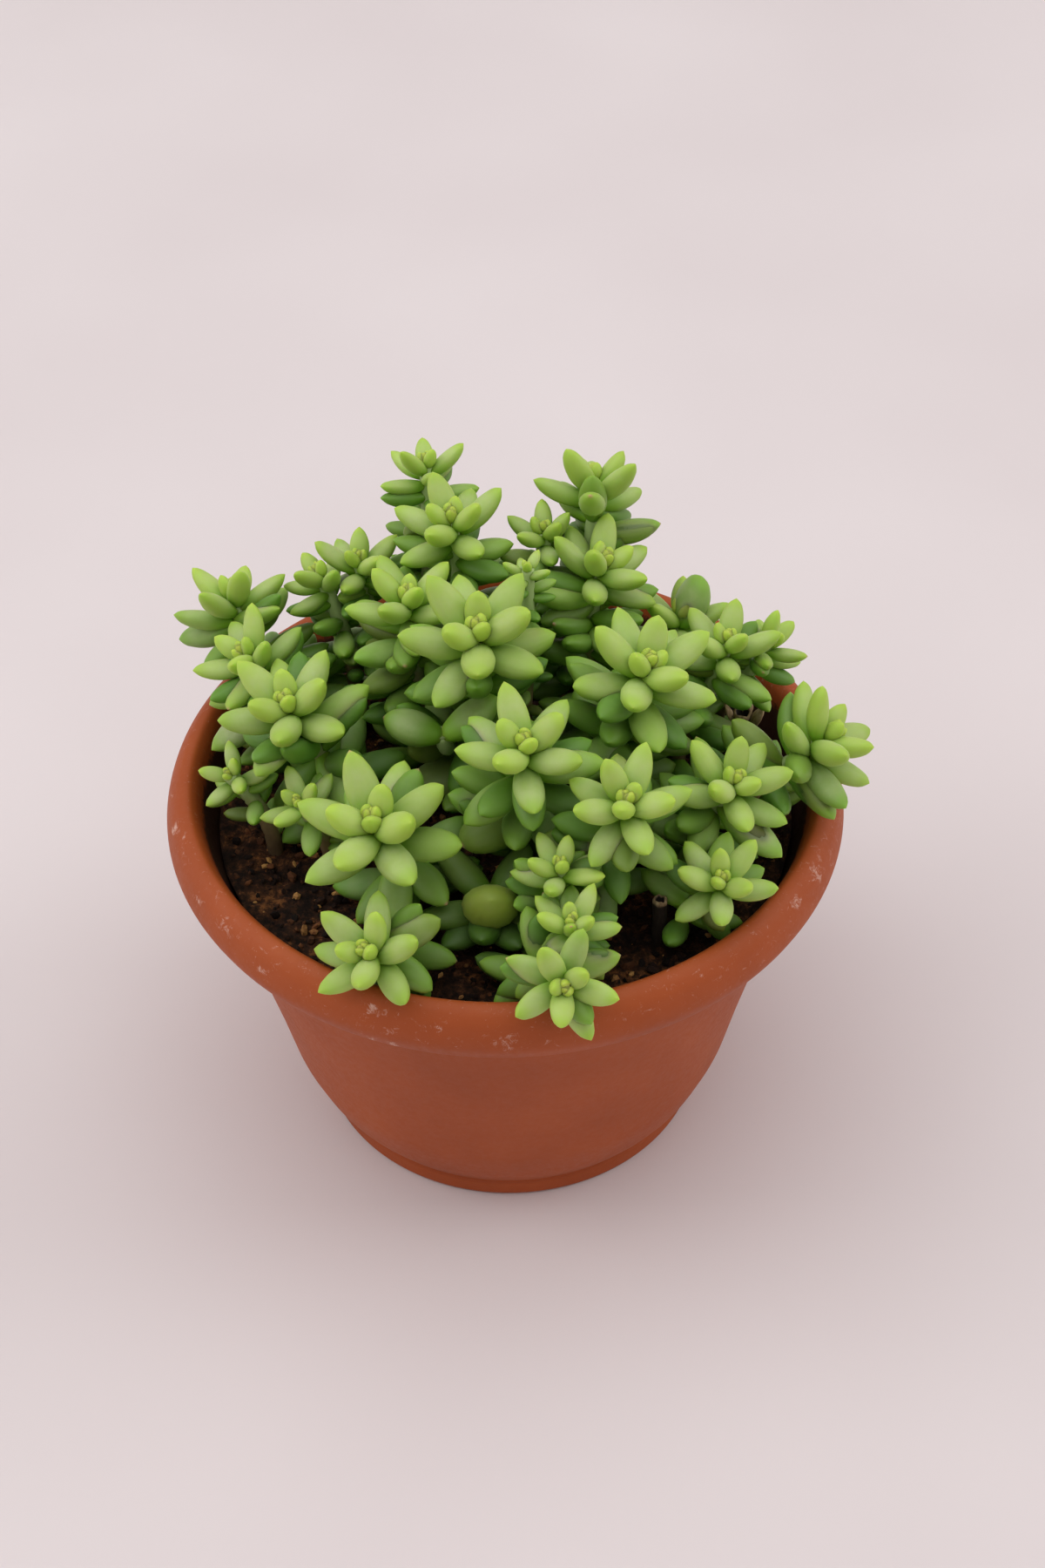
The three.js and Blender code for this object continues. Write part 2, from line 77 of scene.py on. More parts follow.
RIM_PROFILE = [
    (58.7, 79.2),
    (60.1, POT_HEIGHT),
    (62.1, 80.3),
    (63.8, 78.4),
    (64.8, 75.4),
    (POT_RADIUS, 73.0),
    (63.6, 69.9),
]
WALL_OUTSIDE = [
    (38.6, 4.2),
    (42.4, 9.8),
    (45.5, 18.0),
    (48.3, 31.0),
    (51.3, 43.6),
    (57.3, 70.0),
    (58.6, 75.4),
]
WALL_INSIDE = [
    (55.5, 69.5),
    (49.5, 43.6),
    (46.5, 31.0),
    (43.6, 18.0),
    (40.2, 9.8),
    (36.0, 4.2),
    (34.4, FLOOR_TOP),
]
RIM_WALL = [WALL_INSIDE[0]] + RIM_PROFILE
SKIRT_INSIDE = [(61.9, 75.6), (62.0, 69.9)]
INNER_SKIN = 0.4
# Top of the painted shade on the inner wall, just below the rim
PAINTED_SHADE_TOP = 75.5

# Dried lime on the rim: place, size and strength of each smear
LIME_PLACES = [
    (-50.3, -37.4, 77.5, 2.3, 1.0), (-44.1, -46.5, 76.0, 1.6, 0.9), (-49.5, -41.5, 72.0, 1.5, 0.8),
    (-24.5, -59.5, 70.5, 2.2, 1.0), (-20.5, -60.5, 71.0, 1.8, 0.9), (-1.0, -62.0, 75.0, 4.2, 0.85),
    (-8.7, -62.5, 72.0, 1.4, 0.85), (-62.0, -12.3, 78.5, 1.6, 0.95), (-57.0, -31.0, 78.0, 2.0, 0.8),
    (57.0, -28.0, 78.5, 3.0, 0.75), (52.0, -35.5, 78.5, 2.4, 0.7), (-24.1, -58.4, 78.0, 1.6, 0.85),
    (-21.1, -60.5, 75.0, 1.6, 0.85), (-13.1, -61.5, 77.0, 2.4, 0.75), (-61.5, -1.6, 79.0, 1.4, 0.8),
]
LIME_FILM = 0.4
LIME_FROM = 68
LIME_FULL = 74
LIME_CORE = 0.4
LIME_REACH = 1.3

# Soil, in millimetres
SOIL_TOP = 70.2
SOIL_SWELL = 0.55
SOIL_GAP = 0.3
SOIL_EDGE = 55.2
SOIL_GRID = 0.85
SOIL_SIDES = 288

# Lumps in the soil's top: how far across, and their share of the relief
SOIL_LUMPS = [(7.0, 0.6), (3.1, 0.45), (1.4, 0.35)]

# Loose crumbs: their spread of sizes and shapes, how deep they sit, and their tones from wet to dried out
CRUMB_SEED = 11
CRUMB_SHRINK = (0.4, 1.0)
CRUMB_MARGIN = 0.5
CRUMB_SEAT = 0.25
CRUMB_WIDE = (0.5, 0.9)
CRUMB_HIGH = (0.4, 0.8)
CRUMB_ROUGH = (0.75, 1.2)
CRUMB_TURN = 6.3
NEAR_ENOUGH = 1.01
PALE_TONES = (0.55, 0.85)
DARK_TONE = 0.5
DARK_LEAN = 1.5
PALE_CRUMBS = 0.2
PALE_GATHERED = 2
PALE_PATCH = 3.4

# Stems, in millimetres
STEM_RADIUS = 1.6
STEM_SINK = 12.0
STEM_FOOT = 71.0
START_REACH = 0.38
TIP_REACH = 0.34
STEM_SIDES = 14
STEM_STEPS = 40
STEM_TAPER = 0.12
STEM_BUMPS = (0.93, 1.06)
SEEDS_APART = 100

# Leaves: the same rule as the solids
GOLDEN_ANGLE = math.radians(137.508)
LEAF_CURVE = 0.1
LEAF_WIDTH = 0.41
BUD_WIDTH = 0.66
OLD_WIDTH = 0.44
OLD_LENGTH = 1.08
OLD_LONGEST = 14.0
OLD_SPACING = 2.2
OLD_SPACING_GROWTH = 0.2
OLD_LOWEST = 0.12
OLD_DROOP = 4.0
OLD_START = 2.0
TANGENT_STEP = 0.02
UPRIGHT = 80.0
SPREAD = 78.0
SPREAD_POWER = 0.75
YOUNG_SHARE = 0.26
FULL_GROWN = 0.55
TIP_DEPTH = 0.1
ROSETTE_DEPTH = 0.42

# Age of a leaf, from 0 in the bud to 1 when it is oldest
ROSETTE_AGE = 0.62
OLD_AGE = 0.7
OLD_AGEING = 0.06
AIMED_AGE = 0.8

# Clearing, in millimetres and degrees
CLEARANCE = 0.2
WALL_CLEARANCE = 0.3
SOIL_CLEARANCE = 0.8
LEAF_BALL = 0.92
SPOTS = np.array([0.22, 0.36, 0.5, 0.64, 0.78, 0.92])
BENDS = [0, 8, -8, 16, -16, 26, 36]
TURNS = [0, 9, -9, 18, -18, 27, -27]
SHRINKS = [1.0, 0.92, 0.84, 0.74, 0.64]
TURN_COST = 1.2
SHRINK_COST = 90.0
DOWNWARD_COST = 0.5
BACKWARD_COST = 0.25
STEM_BALLS = 24
BURIED_BALLS = 4
BALL_STEP = 2.0
NEAR_WALL = 48.0
INSIDE_POT = 57.0
OVER_RIM = 83.0
NEARBY = 30.0
MOST_BALLS = 30000

# Leaf skin: its rings, its faces above and below, and its half-width along the leaf
LEAF_RINGS = 15
LEAF_SIDES = 14
RING_CROWDING = 1.35
UPPER_FACE = 0.72
UNDER_FACE = 0.88
OUTLINE_SHARE = [0.0, 0.12, 0.3, 0.5, 0.68, 0.82, 0.93, 1.0]
OUTLINE_WIDTH = [0.3, 0.55, 0.88, 1.0, 0.95, 0.76, 0.44, 0.0]
SKIN_WIDTH = [0.38, 0.63, 0.89, 1.0, 0.93, 0.75, 0.46, 0.0]
POINT_CUT = [0.0, 0.0, 0.0, 0.0, 0.03, 0.09, 0.12, 0.0]
TIP_SLOPE = -8.0
TIP_RADIUS = 0.02

# How one leaf differs from the next
LEAF_POINT = (0.0, 0.8)
LEAF_SWAY = (-0.05, 0.05)
LEAF_PLUMP = (0.94, 1.06)
LEAF_TONE = (0.93, 1.06)
AGE_SPREAD = (-0.08, 0.08)

# Where the bloom lies on a leaf: along it, round it, and as it grows. Round the leaf, the upper face gets
# more of the pale mix: a painted highlight from the light above, over the real bloom
BLOOM_STARTS = (0.12, 0.5)
BLOOM_ENDS = (0.68, 0.96)
BLOOM_HIGHLIGHT_ROUND = (-0.6, 0.9)
BLOOM_HIGHLIGHT_UNDER = 0.35
BLOOM_YOUNG = 0.3
BLOOM_FULL_AGE = 0.35
BLOOM_SPREAD = (0.7, 1.15)

# A few leaves past their best, and a few with a dried tip: from what age, how many, how strongly
AGEING = (0.65, 0.06, (0.3, 0.7))
DRYING = (0.3, 0.07, (0.5, 1.0))

# Small round leaves packed in the heart of a rosette
HEART_BUDS = 3
HEART_LENGTH = 0.2
HEART_GROWTH = 0.03
HEART_WIDTH = 0.72
HEART_DEPTH = 0.06
HEART_RISE = 84
HEART_SPREAD = 9

# Leaves that the solids leave out: more old ones where there is room for them
FILL_STEP = 1.5
FILL_LOWEST = 0.03
FILL_WIDTH = 0.44
FILL_LENGTHS = (1.0, 0.8, 0.62, 0.48)
FILL_BENDS = (0, 14, -14, 28, -28, 45)
FILL_TURNS = (0, 22, -22, 44, -44)
FILL_SWING = (-0.3, 0.3)
FILL_RISES = (-14, 16)
FILL_AGES = (0.8, 1.0)
# FILL_PAINTED_SHADE darkens the colour of these leaves deep between the stems: painted shade
FILL_PAINTED_SHADE = 0.84
# Old and fill leaves get less of the pale mix, so that the painted highlight in it falls off where they lie
# in shade
FILL_BLOOM_AND_HIGHLIGHT = 0.25
OLD_BLOOM_AND_HIGHLIGHT = 0.55
BARE_SOIL = [(-44, -26, 15), (-34, -42, 9), (34, -52, 8), (53, -14, 8)]
BARE_BELOW = 92

# Balls of open air that no such leaf reaches into: over the two dry ends, and over the large old leaves
# and buds in the middle and at the front
OPEN_AIR = [
    (27.6, -38.5, 84.5, 3.4), (46.2, 8.5, 86.5, 5.5), (-11.0, -7.0, 91.0, 7.5),
    (-13.0, -12.0, 97.0, 6.0), (-5.0, -31.0, 90.0, 7.0), (-3.0, -48.0, 90.0, 5.5),
]

# Leaves that lie low over the front soil, darkened with painted shade: share of the stem, azimuth, rise,
# length and width
LOW_LEAVES = {
    "stem_front_rim": [(0.1, 165, 3, 12, 5.6)],
    "stem_cut_front": [(0.5, 258, 2, 13.5, 6.4), (0.45, 292, 0, 13, 6.0), (0.45, 228, 0, 13, 6.0)],
}
# LOW_PAINTED_SHADE darkens the colour of these low leaves: painted shade
LOW_PAINTED_SHADE = 0.45

# Every leafy stem: where it leaves the soil, where its growing tip is, the direction and tilt of the
# tip's lean in degrees, the length of a full leaf, the leaves of its rosette, the turn of the first leaf
# in degrees, the hand of its spiral, the older leaves below the rosette, and the leaves that point a way
# of their own, each as (share of the stem, azimuth, rise, length, width)
STEM_ROWS = [
    (
        "stem_centre", (-4, 2), (-4.5, -2.5, 118), (270, 15), 15.5, 13, 30, 1, 7,
        ((0.18, 187, 4, 15, 9.5),),
    ),
    ("stem_centre_right", (19, -4), (26.5, -8.5, 114), (315, 15), 14.5, 13, 270, -1, 6, ()),
    ("stem_left_large", (-30, -3), (-40, -5.5, 104), (225, 15), 14, 13, 30, 1, 5, ()),
    ("stem_front_left", (-17, -25), (-23.5, -35, 102), (240, 15), 15.5, 13, 0, 1, 5, ()),
    (
        "stem_centre_front", (3, -18), (3.5, -27, 112), (270, 12), 13.5, 12, 210, -1, 6,
        ((0.42, 214, -9, 14, 8.8),),
    ),
    ("stem_front_right", (16, -28), (21, -37, 107), (270, 20), 12.5, 12, 310, -1, 5, ()),
    ("stem_right", (34, -19), (41.5, -25, 100), (315, 20), 12, 12, 260, 1, 5, ((0.72, 318, -28, 15, 6.5),)),
    ("stem_right_front", (32, -34), (38, -41, 91), (270, 20), 10.5, 11, 150, -1, 3, ()),
    (
        "stem_right_rim", (44, -9), (60.5, -11.5, 98.5), (10, 50), 13, 12, 150, -1, 3,
        ((0.75, 300, -10, 15, 5.5),),
    ),
    ("stem_back_left_tall", (-6, 20), (-9, 29.5, 119), (200, 5), 12.5, 12, 140, 1, 6, ()),
    ("stem_back_right_tall", (14, 28), (18.5, 39.5, 120.5), (90, 40), 12.5, 10, 60, -1, 5, ()),
    (
        "stem_left_back", (-40, 24), (-51.5, 30, 102), (90, 30), 12, 11, 120, -1, 4,
        ((0.8, 172, -28, 14, 6.5),),
    ),
    (
        "stem_centre_left", (-15, 10), (-17.5, 15, 112), (0, 0), 12.5, 12, 350, -1, 5,
        ((0.72, 225, 12, 15, 6),),
    ),
    (
        "stem_left_middle", (-39, 8), (-49, 11, 102), (195, 30), 11.5, 11, 90, 1, 4,
        ((0.6, 215, -22, 16, 6.8),),
    ),
    ("stem_back_right", (18, 16), (20, 24, 112), (0, 20), 12.5, 12, 60, -1, 5, ()),
    ("stem_right_back", (33, 6), (42.5, 9.5, 104), (0, 5), 11.5, 11, 250, 1, 5, ()),
    ("stem_front_left_rim", (-20, -41), (-25, -54.5, 89), (230, 30), 12, 12, 240, -1, 3, ()),
    ("stem_front_rim", (5, -48), (9.5, -64, 88.5), (275, 50), 11, 11, 90, -1, 3, ()),
    ("stem_front_middle", (9, -43), (11, -52.5, 93), (270, 10), 9, 10, 20, -1, 3, ()),
    ("stem_front_centre", (6, -33), (9.3, -42.5, 97), (0, 0), 9, 10, 10, 1, 4, ()),
    ("stem_left_low", (-44, -10), (-51.3, -9.7, 90), (225, 30), 7.5, 8, 120, 1, 2, ()),
    ("stem_left_small", (-33, -15), (-38, -18.7, 91), (225, 25), 8.5, 9, 70, -1, 3, ()),
    ("stem_back_left", (-22, 31), (-27.3, 34, 106), (0, 0), 10.5, 10, 140, -1, 5, ()),
    ("stem_back_left_far", (-29, 27), (-35.5, 32.5, 104), (150, 30), 9.5, 10, 60, 1, 4, ()),
    ("stem_back_middle", (4, 29), (8.6, 31.5, 114), (0, 0), 9, 10, 260, 1, 5, ()),
    ("stem_back_rear", (-15, 36), (-14, 46, 120), (100, 20), 9.5, 10, 40, 1, 5, ()),
    ("stem_right_far", (41, 17), (51.5, 14, 100), (20, 30), 9, 9, 0, 1, 4, ()),
    ("stem_small_middle", (4, 13), (5, 14.7, 118), (90, 10), 5.5, 8, 0, 1, 4, ()),
    ("stem_right_rear", (31, 24), (35, 27, 97), (60, 10), 11, 9, 30, 1, 3, ((0.85, 20, 62, 12, 7.8),)),
    (
        "stem_cut_middle", (-10, 15), (-11.5, -6.5, 97), (120, 10), 14, 0, 0, 1, 0,
        ((0.95, 165, 8, 11.5, 7.6), (0.95, 18, 22, 12.5, 7.2), (0.7, 100, 15, 12, 6.4)),
    ),
    (
        "stem_cut_front", (-3, -33), (-3, -34, 80), (270, 10), 14, 0, 0, 1, 0,
        (
            (0.75, 268, 44, 13, 10.6),
            (0.95, 140, 30, 15, 6.4),
            (0.7, 200, 2, 14, 6),
            (0.5, 325, 8, 12, 5.8),
            (0.8, 50, 25, 13, 6),
        ),
    ),
]

# The looks of single leaves that point a way of their own: olive with age, pale with bloom, dried at the
# tip, and a tone that scales their colour. The tones of 0.55 and 0.6 on the low leaves of stem_cut_front are
# painted shade, and the tones of 1.25 and 1.3 on two leaves lying in shade are painted light
AIMED_LOOKS = {
    ("stem_centre", 0): {"olive": 0.45, "bloom": 0.2, "tone": 0.85, "blush": 0.5},
    ("stem_centre_front", 0): {"olive": 0.4, "bloom": 0.1, "tone": 0.95, "blush": 1.0},
    ("stem_cut_middle", 0): {"bloom": 0.5, "tone": 0.85, "blush": 1.0},
    # Painted light: tone 1.25 brightens this leaf, shaded by the rosette above it
    ("stem_cut_middle", 1): {"bloom": 0.4, "olive": 0.2, "tone": 1.25},
    # Painted light: tone 1.3 brightens this low olive leaf in the shade
    ("stem_cut_front", 0): {"olive": 0.7, "bloom": 0.1, "tone": 1.3},
    # Painted shade: the tones of 0.55 and 0.6 darken the low leaves below
    ("stem_cut_front", 1): {"bloom": 0.15, "tone": 0.55},
    ("stem_cut_front", 2): {"bloom": 0.15, "tone": 0.55},
    ("stem_cut_front", 3): {"bloom": 0.15, "tone": 0.6},
    ("stem_cut_front", 4): {"bloom": 0.15, "tone": 0.6},
    ("stem_left_middle", 0): {"bloom": 1.0, "tone": 0.92},
    ("stem_right_rear", 0): {"bloom": 0.7, "tone": 1.05},
}

# Dry ends of two old stems: place on the soil, height above it and radius
DRY_STALKS = [
    ("dry_stalk_front", (27.6, -35.9), 81, 1.35),
    ("dry_stalk_right", (46.4, 12.4), 83, 1.8),
]
STALK_CUP = 1.4
STALK_WALL = 0.65
STALK_SIDES = 28
STALK_WAIST = 0.94
STALK_COLLAR = 2
STALK_NECK = 0.98
STALK_NECK_DEPTH = 1.2
STALK_SHOULDER = 0.5
STALK_LIP = 0.3
STALK_RIBS = 5
STALK_SWELL = 0.06
TORN_TEETH = 3
TORN_DEPTH = 0.35
TORN_BAND = 1.0
DAMP_OUTSIDE = 0.97
DAMP_ENDS = (0.9, 0.3)

# Papery scales on the right-hand stalk: azimuth, rise, length and width
HUSK_SCALES = [(175, 68, 4.2, 2.6), (350, 62, 4.4, 4.6), (70, 70, 3.6, 3.0)]
HUSK_SEED = 5
HUSK_ROWS = 7
HUSK_THICKNESS = 0.22
HUSK_ROOT = 2.0
HUSK_ROOT_SHARE = 0.6
HUSK_CUP = 0.55
HUSK_CURL = 0.18
HUSK_CREASE = (-0.07, 0.07)
HUSK_NARROW = 0.25
HUSK_TAPER = 0.68
HUSK_DAMP = 0.2
HUSK_EDGE_DAMP = 0.05

# Floor and backdrop, in millimetres
BACKDROP = [
    (0.0, 0.0), (900.0, 0.0), (1300.0, 0.0), (1500.0, 12.0), (1690.0, 60.0), (1860.0, 150.0),
    (2000.0, 280.0), (2095.0, 450.0), (2140.0, 650.0), (2150.0, 1300.0),
]
BACKDROP_SIDES = 128

# Soft square lights: place, aim and side in metres, and the setting that gives the power
LIGHTS = [
    ("overhead", (-0.14, 0.02, 1.5), (-0.03, 0.0, 0.05), 2.0, "key_power"),
    ("side_left", (-1.3, 0.1, 0.85), (0.0, 0.0, 0.05), 0.8, "side_power"),
    ("side_right", (1.3, 0.1, 0.85), (0.0, 0.0, 0.05), 0.8, "side_power"),
]

# Camera, in millimetres and degrees
CAMERA_PLACE = (0.0, -367.3, 418.2)
CAMERA_AIM = (4.13, 82.35, 0.0)
CAMERA_ROLL = -0.98
CAMERA_LENS = 90.0
SENSOR_WIDTH = 36.0
CAMERA_CLIP = 10.0

# Node settings that several materials share
SMOOTH = {"interpolation_type": "SMOOTHSTEP"}
OVERLAY = {"data_type": "RGBA"}
TIMES = {"operation": "MULTIPLY"}
TIMES_PLUS = {"operation": "MULTIPLY_ADD"}


def linear(code):
    """A colour given as sRGB hex, as linear values for a shader socket."""
    channels = [int(code[i:i + 2], 16) / 255 for i in (1, 3, 5)]
    return tuple(c / 12.92 if c <= 0.04045 else ((c + 0.055) / 1.055) ** 2.4 for c in channels) + (1.0,)


def add_node(tree, kind, inputs=(), settings=(), stops=()):
    """Adds a node with its settings. An input takes a value, a socket, or the node whose first output
    feeds it, and a colour ramp takes stops of place and sRGB hex."""
    made = tree.nodes.new("ShaderNode" + kind)
    for name, value in dict(settings).items():
        setattr(made, name, value)
    for name, value in dict(inputs).items():
        if isinstance(value, bpy.types.Node):
            value = next(output for output in value.outputs if output.enabled)
        if isinstance(value, bpy.types.NodeSocket):
            tree.links.new(value, made.inputs[name])
        else:
            made.inputs[name].default_value = value
    if stops:
        elements = made.color_ramp.elements
        elements.remove(elements[-1])
        elements[0].position = stops[0][0]
        for place, _ in stops[1:]:
            elements.new(place)
        for element, (_, code) in zip(elements, stops):
            element.color = linear(code)
    return made


def new_material(name, *labels):
    """An empty material, its tree, its object coordinates, and the point values that it reads."""
    material = bpy.data.materials.new(name)
    material.use_nodes = True
    tree = material.node_tree
    tree.nodes.clear()
    place = add_node(tree, "TexCoord").outputs["Object"]
    values = [add_node(tree, "Attribute", (), {"attribute_name": label}).outputs["Fac"] for label in labels]
    return material, tree, place, *values


def finish_material(material, inputs):
    """Ends a material in its principled shader, with constants directly on its sockets."""
    shader = add_node(material.node_tree, "BsdfPrincipled", inputs)
    add_node(material.node_tree, "OutputMaterial", {"Surface": shader})
    return material


# Terracotta-coloured polypropylene, injection moulded and left matt: a soft, even sheen with faint flow
# clouds and a fine grain. Dried lime stands on the rim where water ran over it, and the inner wall above the
# soil is painted near-black: painted shade for the shade inside the pot
def moulded_polypropylene(settings):
    material, tree, place, limed, soiled = new_material("polypropylene_terracotta_moulded", "lime", "soiled")
    clouds = add_node(tree, "TexNoise", {
        "Vector": place, "Scale": 1 / (22 * MM), "Detail": 3.0, "Roughness": 0.55,
    })
    base = add_node(tree, "ValToRGB", {"Fac": clouds}, stops=[
        (0.3, settings.dark_colour_hex), (0.55, settings.colour_hex), (0.8, settings.light_colour_hex),
    ])
    # Fine scuffing, drawn at about a millimetre so that it shows
    scuff = add_node(tree, "TexNoise", {
        "Vector": place, "Scale": 1 / (1.3 * MM), "Detail": 6.0, "Roughness": 0.7,
    })
    # Lime flecks, 1 to 3 mm across
    fleck = add_node(tree, "TexNoise", {
        "Vector": place, "Scale": 1 / (1.7 * MM), "Detail": 7.0, "Roughness": 0.75, "Distortion": 1.2,
    })
    limy = add_node(tree, "Math", {0: limed, 1: 0.42, 2: fleck}, TIMES_PLUS)
    lime = add_node(tree, "MapRange", {
        "Value": limy, "From Min": 0.74, "From Max": 0.95, "To Max": settings.lime,
    }, SMOOTH)
    # Painted shade: the inner wall above the soil is mixed to near-black, broken up by the flecks
    inner_shade_mix = add_node(tree, "Math", {0: soiled, 1: 1.4, 2: fleck}, TIMES_PLUS)
    inner_painted_shade = add_node(tree, "MapRange", {
        "Value": inner_shade_mix, "From Min": 0.8, "From Max": 1.2, "To Max": 0.93,
    }, SMOOTH)
    worn = add_node(tree, "Mix", {"Factor": lime, "A": base, "B": linear("#DDB9A8")}, OVERLAY)
    limed_and_painted_shade = add_node(tree, "Mix", {"Factor": inner_painted_shade, "A": worn, "B": linear("#1D130E")}, OVERLAY)
    rough = add_node(tree, "MapRange", {
        "Value": scuff, "From Min": 0.3, "From Max": 0.7, "To Min": 0.5, "To Max": 0.66,
    })
    bump = add_node(tree, "Bump", {"Height": scuff, "Strength": 0.12, "Distance": 0.25 * MM})
    return finish_material(material, {
        "Base Color": limed_and_painted_shade, "Roughness": rough, "Normal": bump, "IOR": 1.49, "Specular IOR Level": 0.35,
    })


# Peat compost, loose and dry on top: near-black with brown fibre, and no shine
def peat_compost():
    material, tree, place = new_material("compost_peat_loose")
    grain = add_node(tree, "TexNoise", {
        "Vector": place, "Scale": 1 / (1.6 * MM), "Detail": 8.0, "Roughness": 0.75,
    })
    drift = add_node(tree, "TexNoise", {"Vector": place, "Scale": 1 / (9 * MM), "Detail": 3.0})
    mixed = add_node(tree, "Math", {0: drift, 1: 0.6, 2: grain}, TIMES_PLUS)
    colour = add_node(tree, "ValToRGB", {"Fac": mixed}, stops=[
        (0.5, "#0B0807"), (0.74, "#20150F"), (0.88, "#452B1B"), (1.0, "#85552F"),
    ])
    bump = add_node(tree, "Bump", {"Height": grain, "Strength": 0.7, "Distance": 0.8 * MM})
    return finish_material(material, {
        "Base Color": colour, "Normal": bump, "Roughness": 0.95, "Specular IOR Level": 0.2,
    })


# Bark and coir crumbs: rough fibre that has dried orange-brown or stayed dark and damp, each its own tone
def bark_crumb():
    material, tree, place, tone = new_material("bark_fibre_crumbled", "tone")
    fibre = add_node(tree, "TexNoise", {
        "Vector": place, "Scale": 1 / (0.7 * MM), "Detail": 5.0, "Roughness": 0.7,
    })
    varied = add_node(tree, "Math", {0: fibre, 1: 0.35, 2: tone}, TIMES_PLUS)
    colour = add_node(tree, "ValToRGB", {"Fac": varied}, stops=[
        (0.1, "#0F0B09"), (0.5, "#2A1A12"), (0.8, "#7A4C2D"), (1.0, "#C39255"),
    ])
    bump = add_node(tree, "Bump", {"Height": fibre, "Strength": 0.6, "Distance": 0.4 * MM})
    return finish_material(material, {
        "Base Color": colour, "Normal": bump, "Roughness": 0.9, "Specular IOR Level": 0.25,
    })


# Succulent leaf skin with its own wax bloom: fresh yellow-green at the growing tip, deeper green with age.
# The pale bloom mix lies palest along the middle of a leaf's upper face, and thins at its root, edges and
# tip: real wax bloom, with a painted highlight where the light from above falls on the upper face. Light
# enters the wet flesh a little way, and the wax spreads each highlight into a haze
def waxy_leaf_skin(settings):
    material, tree, place, age, along, tone, olive, blush, waxed = new_material(
        "succulent_leaf_wax_bloom", "age", "along", "tone", "olive", "blush", "bloom",
    )
    colour = add_node(tree, "ValToRGB", {"Fac": age}, stops=[
        (0.0, settings.bud_hex), (0.3, settings.young_hex),
        (0.6, settings.grown_hex), (1.0, settings.old_hex),
    ])
    # The root of each leaf is a more saturated green, and its tip turns yellow
    root = add_node(tree, "MapRange", {
        "Value": along, "From Min": 0.15, "From Max": 0.6, "To Min": 0.75, "To Max": 0.0,
    }, SMOOTH)
    tip = add_node(tree, "MapRange", {
        "Value": along, "From Min": 0.6, "From Max": 1.0, "To Max": 0.15,
    }, SMOOTH)
    # Bloom and its painted highlight lie in soft patches a few millimetres across
    patches = add_node(tree, "TexNoise", {
        "Vector": place, "Scale": 1 / (3.5 * MM), "Detail": 4.0, "Roughness": 0.6,
    })
    patchy = add_node(tree, "MapRange", {
        "Value": patches, "From Min": 0.3, "From Max": 0.65, "To Min": 0.55, "To Max": 1.0,
    })
    bloom = add_node(tree, "Math", {0: patchy, 1: waxed}, TIMES)
    # A few tips have dried to a pinkish tan
    end = add_node(tree, "MapRange", {"Value": along, "From Min": 0.955, "From Max": 1.0}, SMOOTH)
    dried = add_node(tree, "Math", {0: end, 1: blush}, TIMES)
    overlays = [
        (root, settings.root_hex), (tip, settings.tip_hex), (olive, settings.olive_hex),
        (bloom, settings.bloom_and_highlight_hex), (dried, "#B98A72"),
    ]
    for share, code in overlays:
        colour = add_node(tree, "Mix", {"Factor": share, "A": colour, "B": linear(code)}, OVERLAY)
    # The tone scales the whole leaf's colour: its own random tone, times painted shade on fill and low
    # leaves, with painted light or shade from the looks of some single leaves
    toned_with_painted_shade = add_node(tree, "HueSaturation", {"Value": tone, "Color": colour})
    # Skin cells and faint ripples, drawn at nearly a millimetre so that they show
    cells = add_node(tree, "TexNoise", {
        "Vector": place, "Scale": 1 / (0.9 * MM), "Detail": 3.0, "Roughness": 0.6,
    })
    bump = add_node(tree, "Bump", {"Height": cells, "Strength": 0.1, "Distance": 0.2 * MM})
    return finish_material(material, {
        "Base Color": toned_with_painted_shade, "Normal": bump, "Roughness": 0.52, "IOR": 1.42,
        "Subsurface Weight": 0.6, "Subsurface Radius": (0.65, 1.0, 0.25), "Subsurface Scale": 3.2 * MM,
        "Coat Weight": 0.12, "Coat Roughness": 0.55,
    })


# Succulent stem skin: pale green near the tip, corking to a dull tan near the soil
def corking_stem_skin():
    material, tree, place, along = new_material("succulent_stem_skin_corked", "along")
    mottle = add_node(tree, "TexNoise", {"Vector": place, "Scale": 1 / (2.2 * MM), "Detail": 4.0})
    mixed = add_node(tree, "Math", {0: mottle, 1: 0.3, 2: along}, TIMES_PLUS)
    colour = add_node(tree, "ValToRGB", {"Fac": mixed}, stops=[
        (0.2, "#5E4C33"), (0.5, "#8C7C50"), (0.8, "#93A968"), (1.0, "#A9C27C"),
    ])
    bump = add_node(tree, "Bump", {"Height": mottle, "Strength": 0.4, "Distance": 0.3 * MM})
    return finish_material(material, {"Base Color": colour, "Normal": bump, "Roughness": 0.65})


# Dead stem, dried in the air: papery fibre, straw-coloured where it is torn and dark brown with damp
def dried_stem_fibre():
    material, tree, place, damp = new_material("stem_fibre_dried", "damp")
    stretch = add_node(tree, "Mapping", {"Vector": place, "Scale": (1.0, 1.0, 0.2)})
    fibre = add_node(tree, "TexNoise", {"Vector": stretch, "Scale": 1 / (0.8 * MM), "Detail": 5.0})
    straw = add_node(tree, "ValToRGB", {"Fac": fibre}, stops=[
        (0.3, "#8E7350"), (0.55, "#BFA67C"), (0.8, "#DCCBA6"),
    ])
    damped = add_node(tree, "Mix", {"Factor": damp, "A": straw, "B": linear("#1C120C")}, OVERLAY)
    bump = add_node(tree, "Bump", {"Height": fibre, "Strength": 0.6, "Distance": 0.3 * MM})
    return finish_material(material, {"Base Color": damped, "Normal": bump, "Roughness": 0.85})


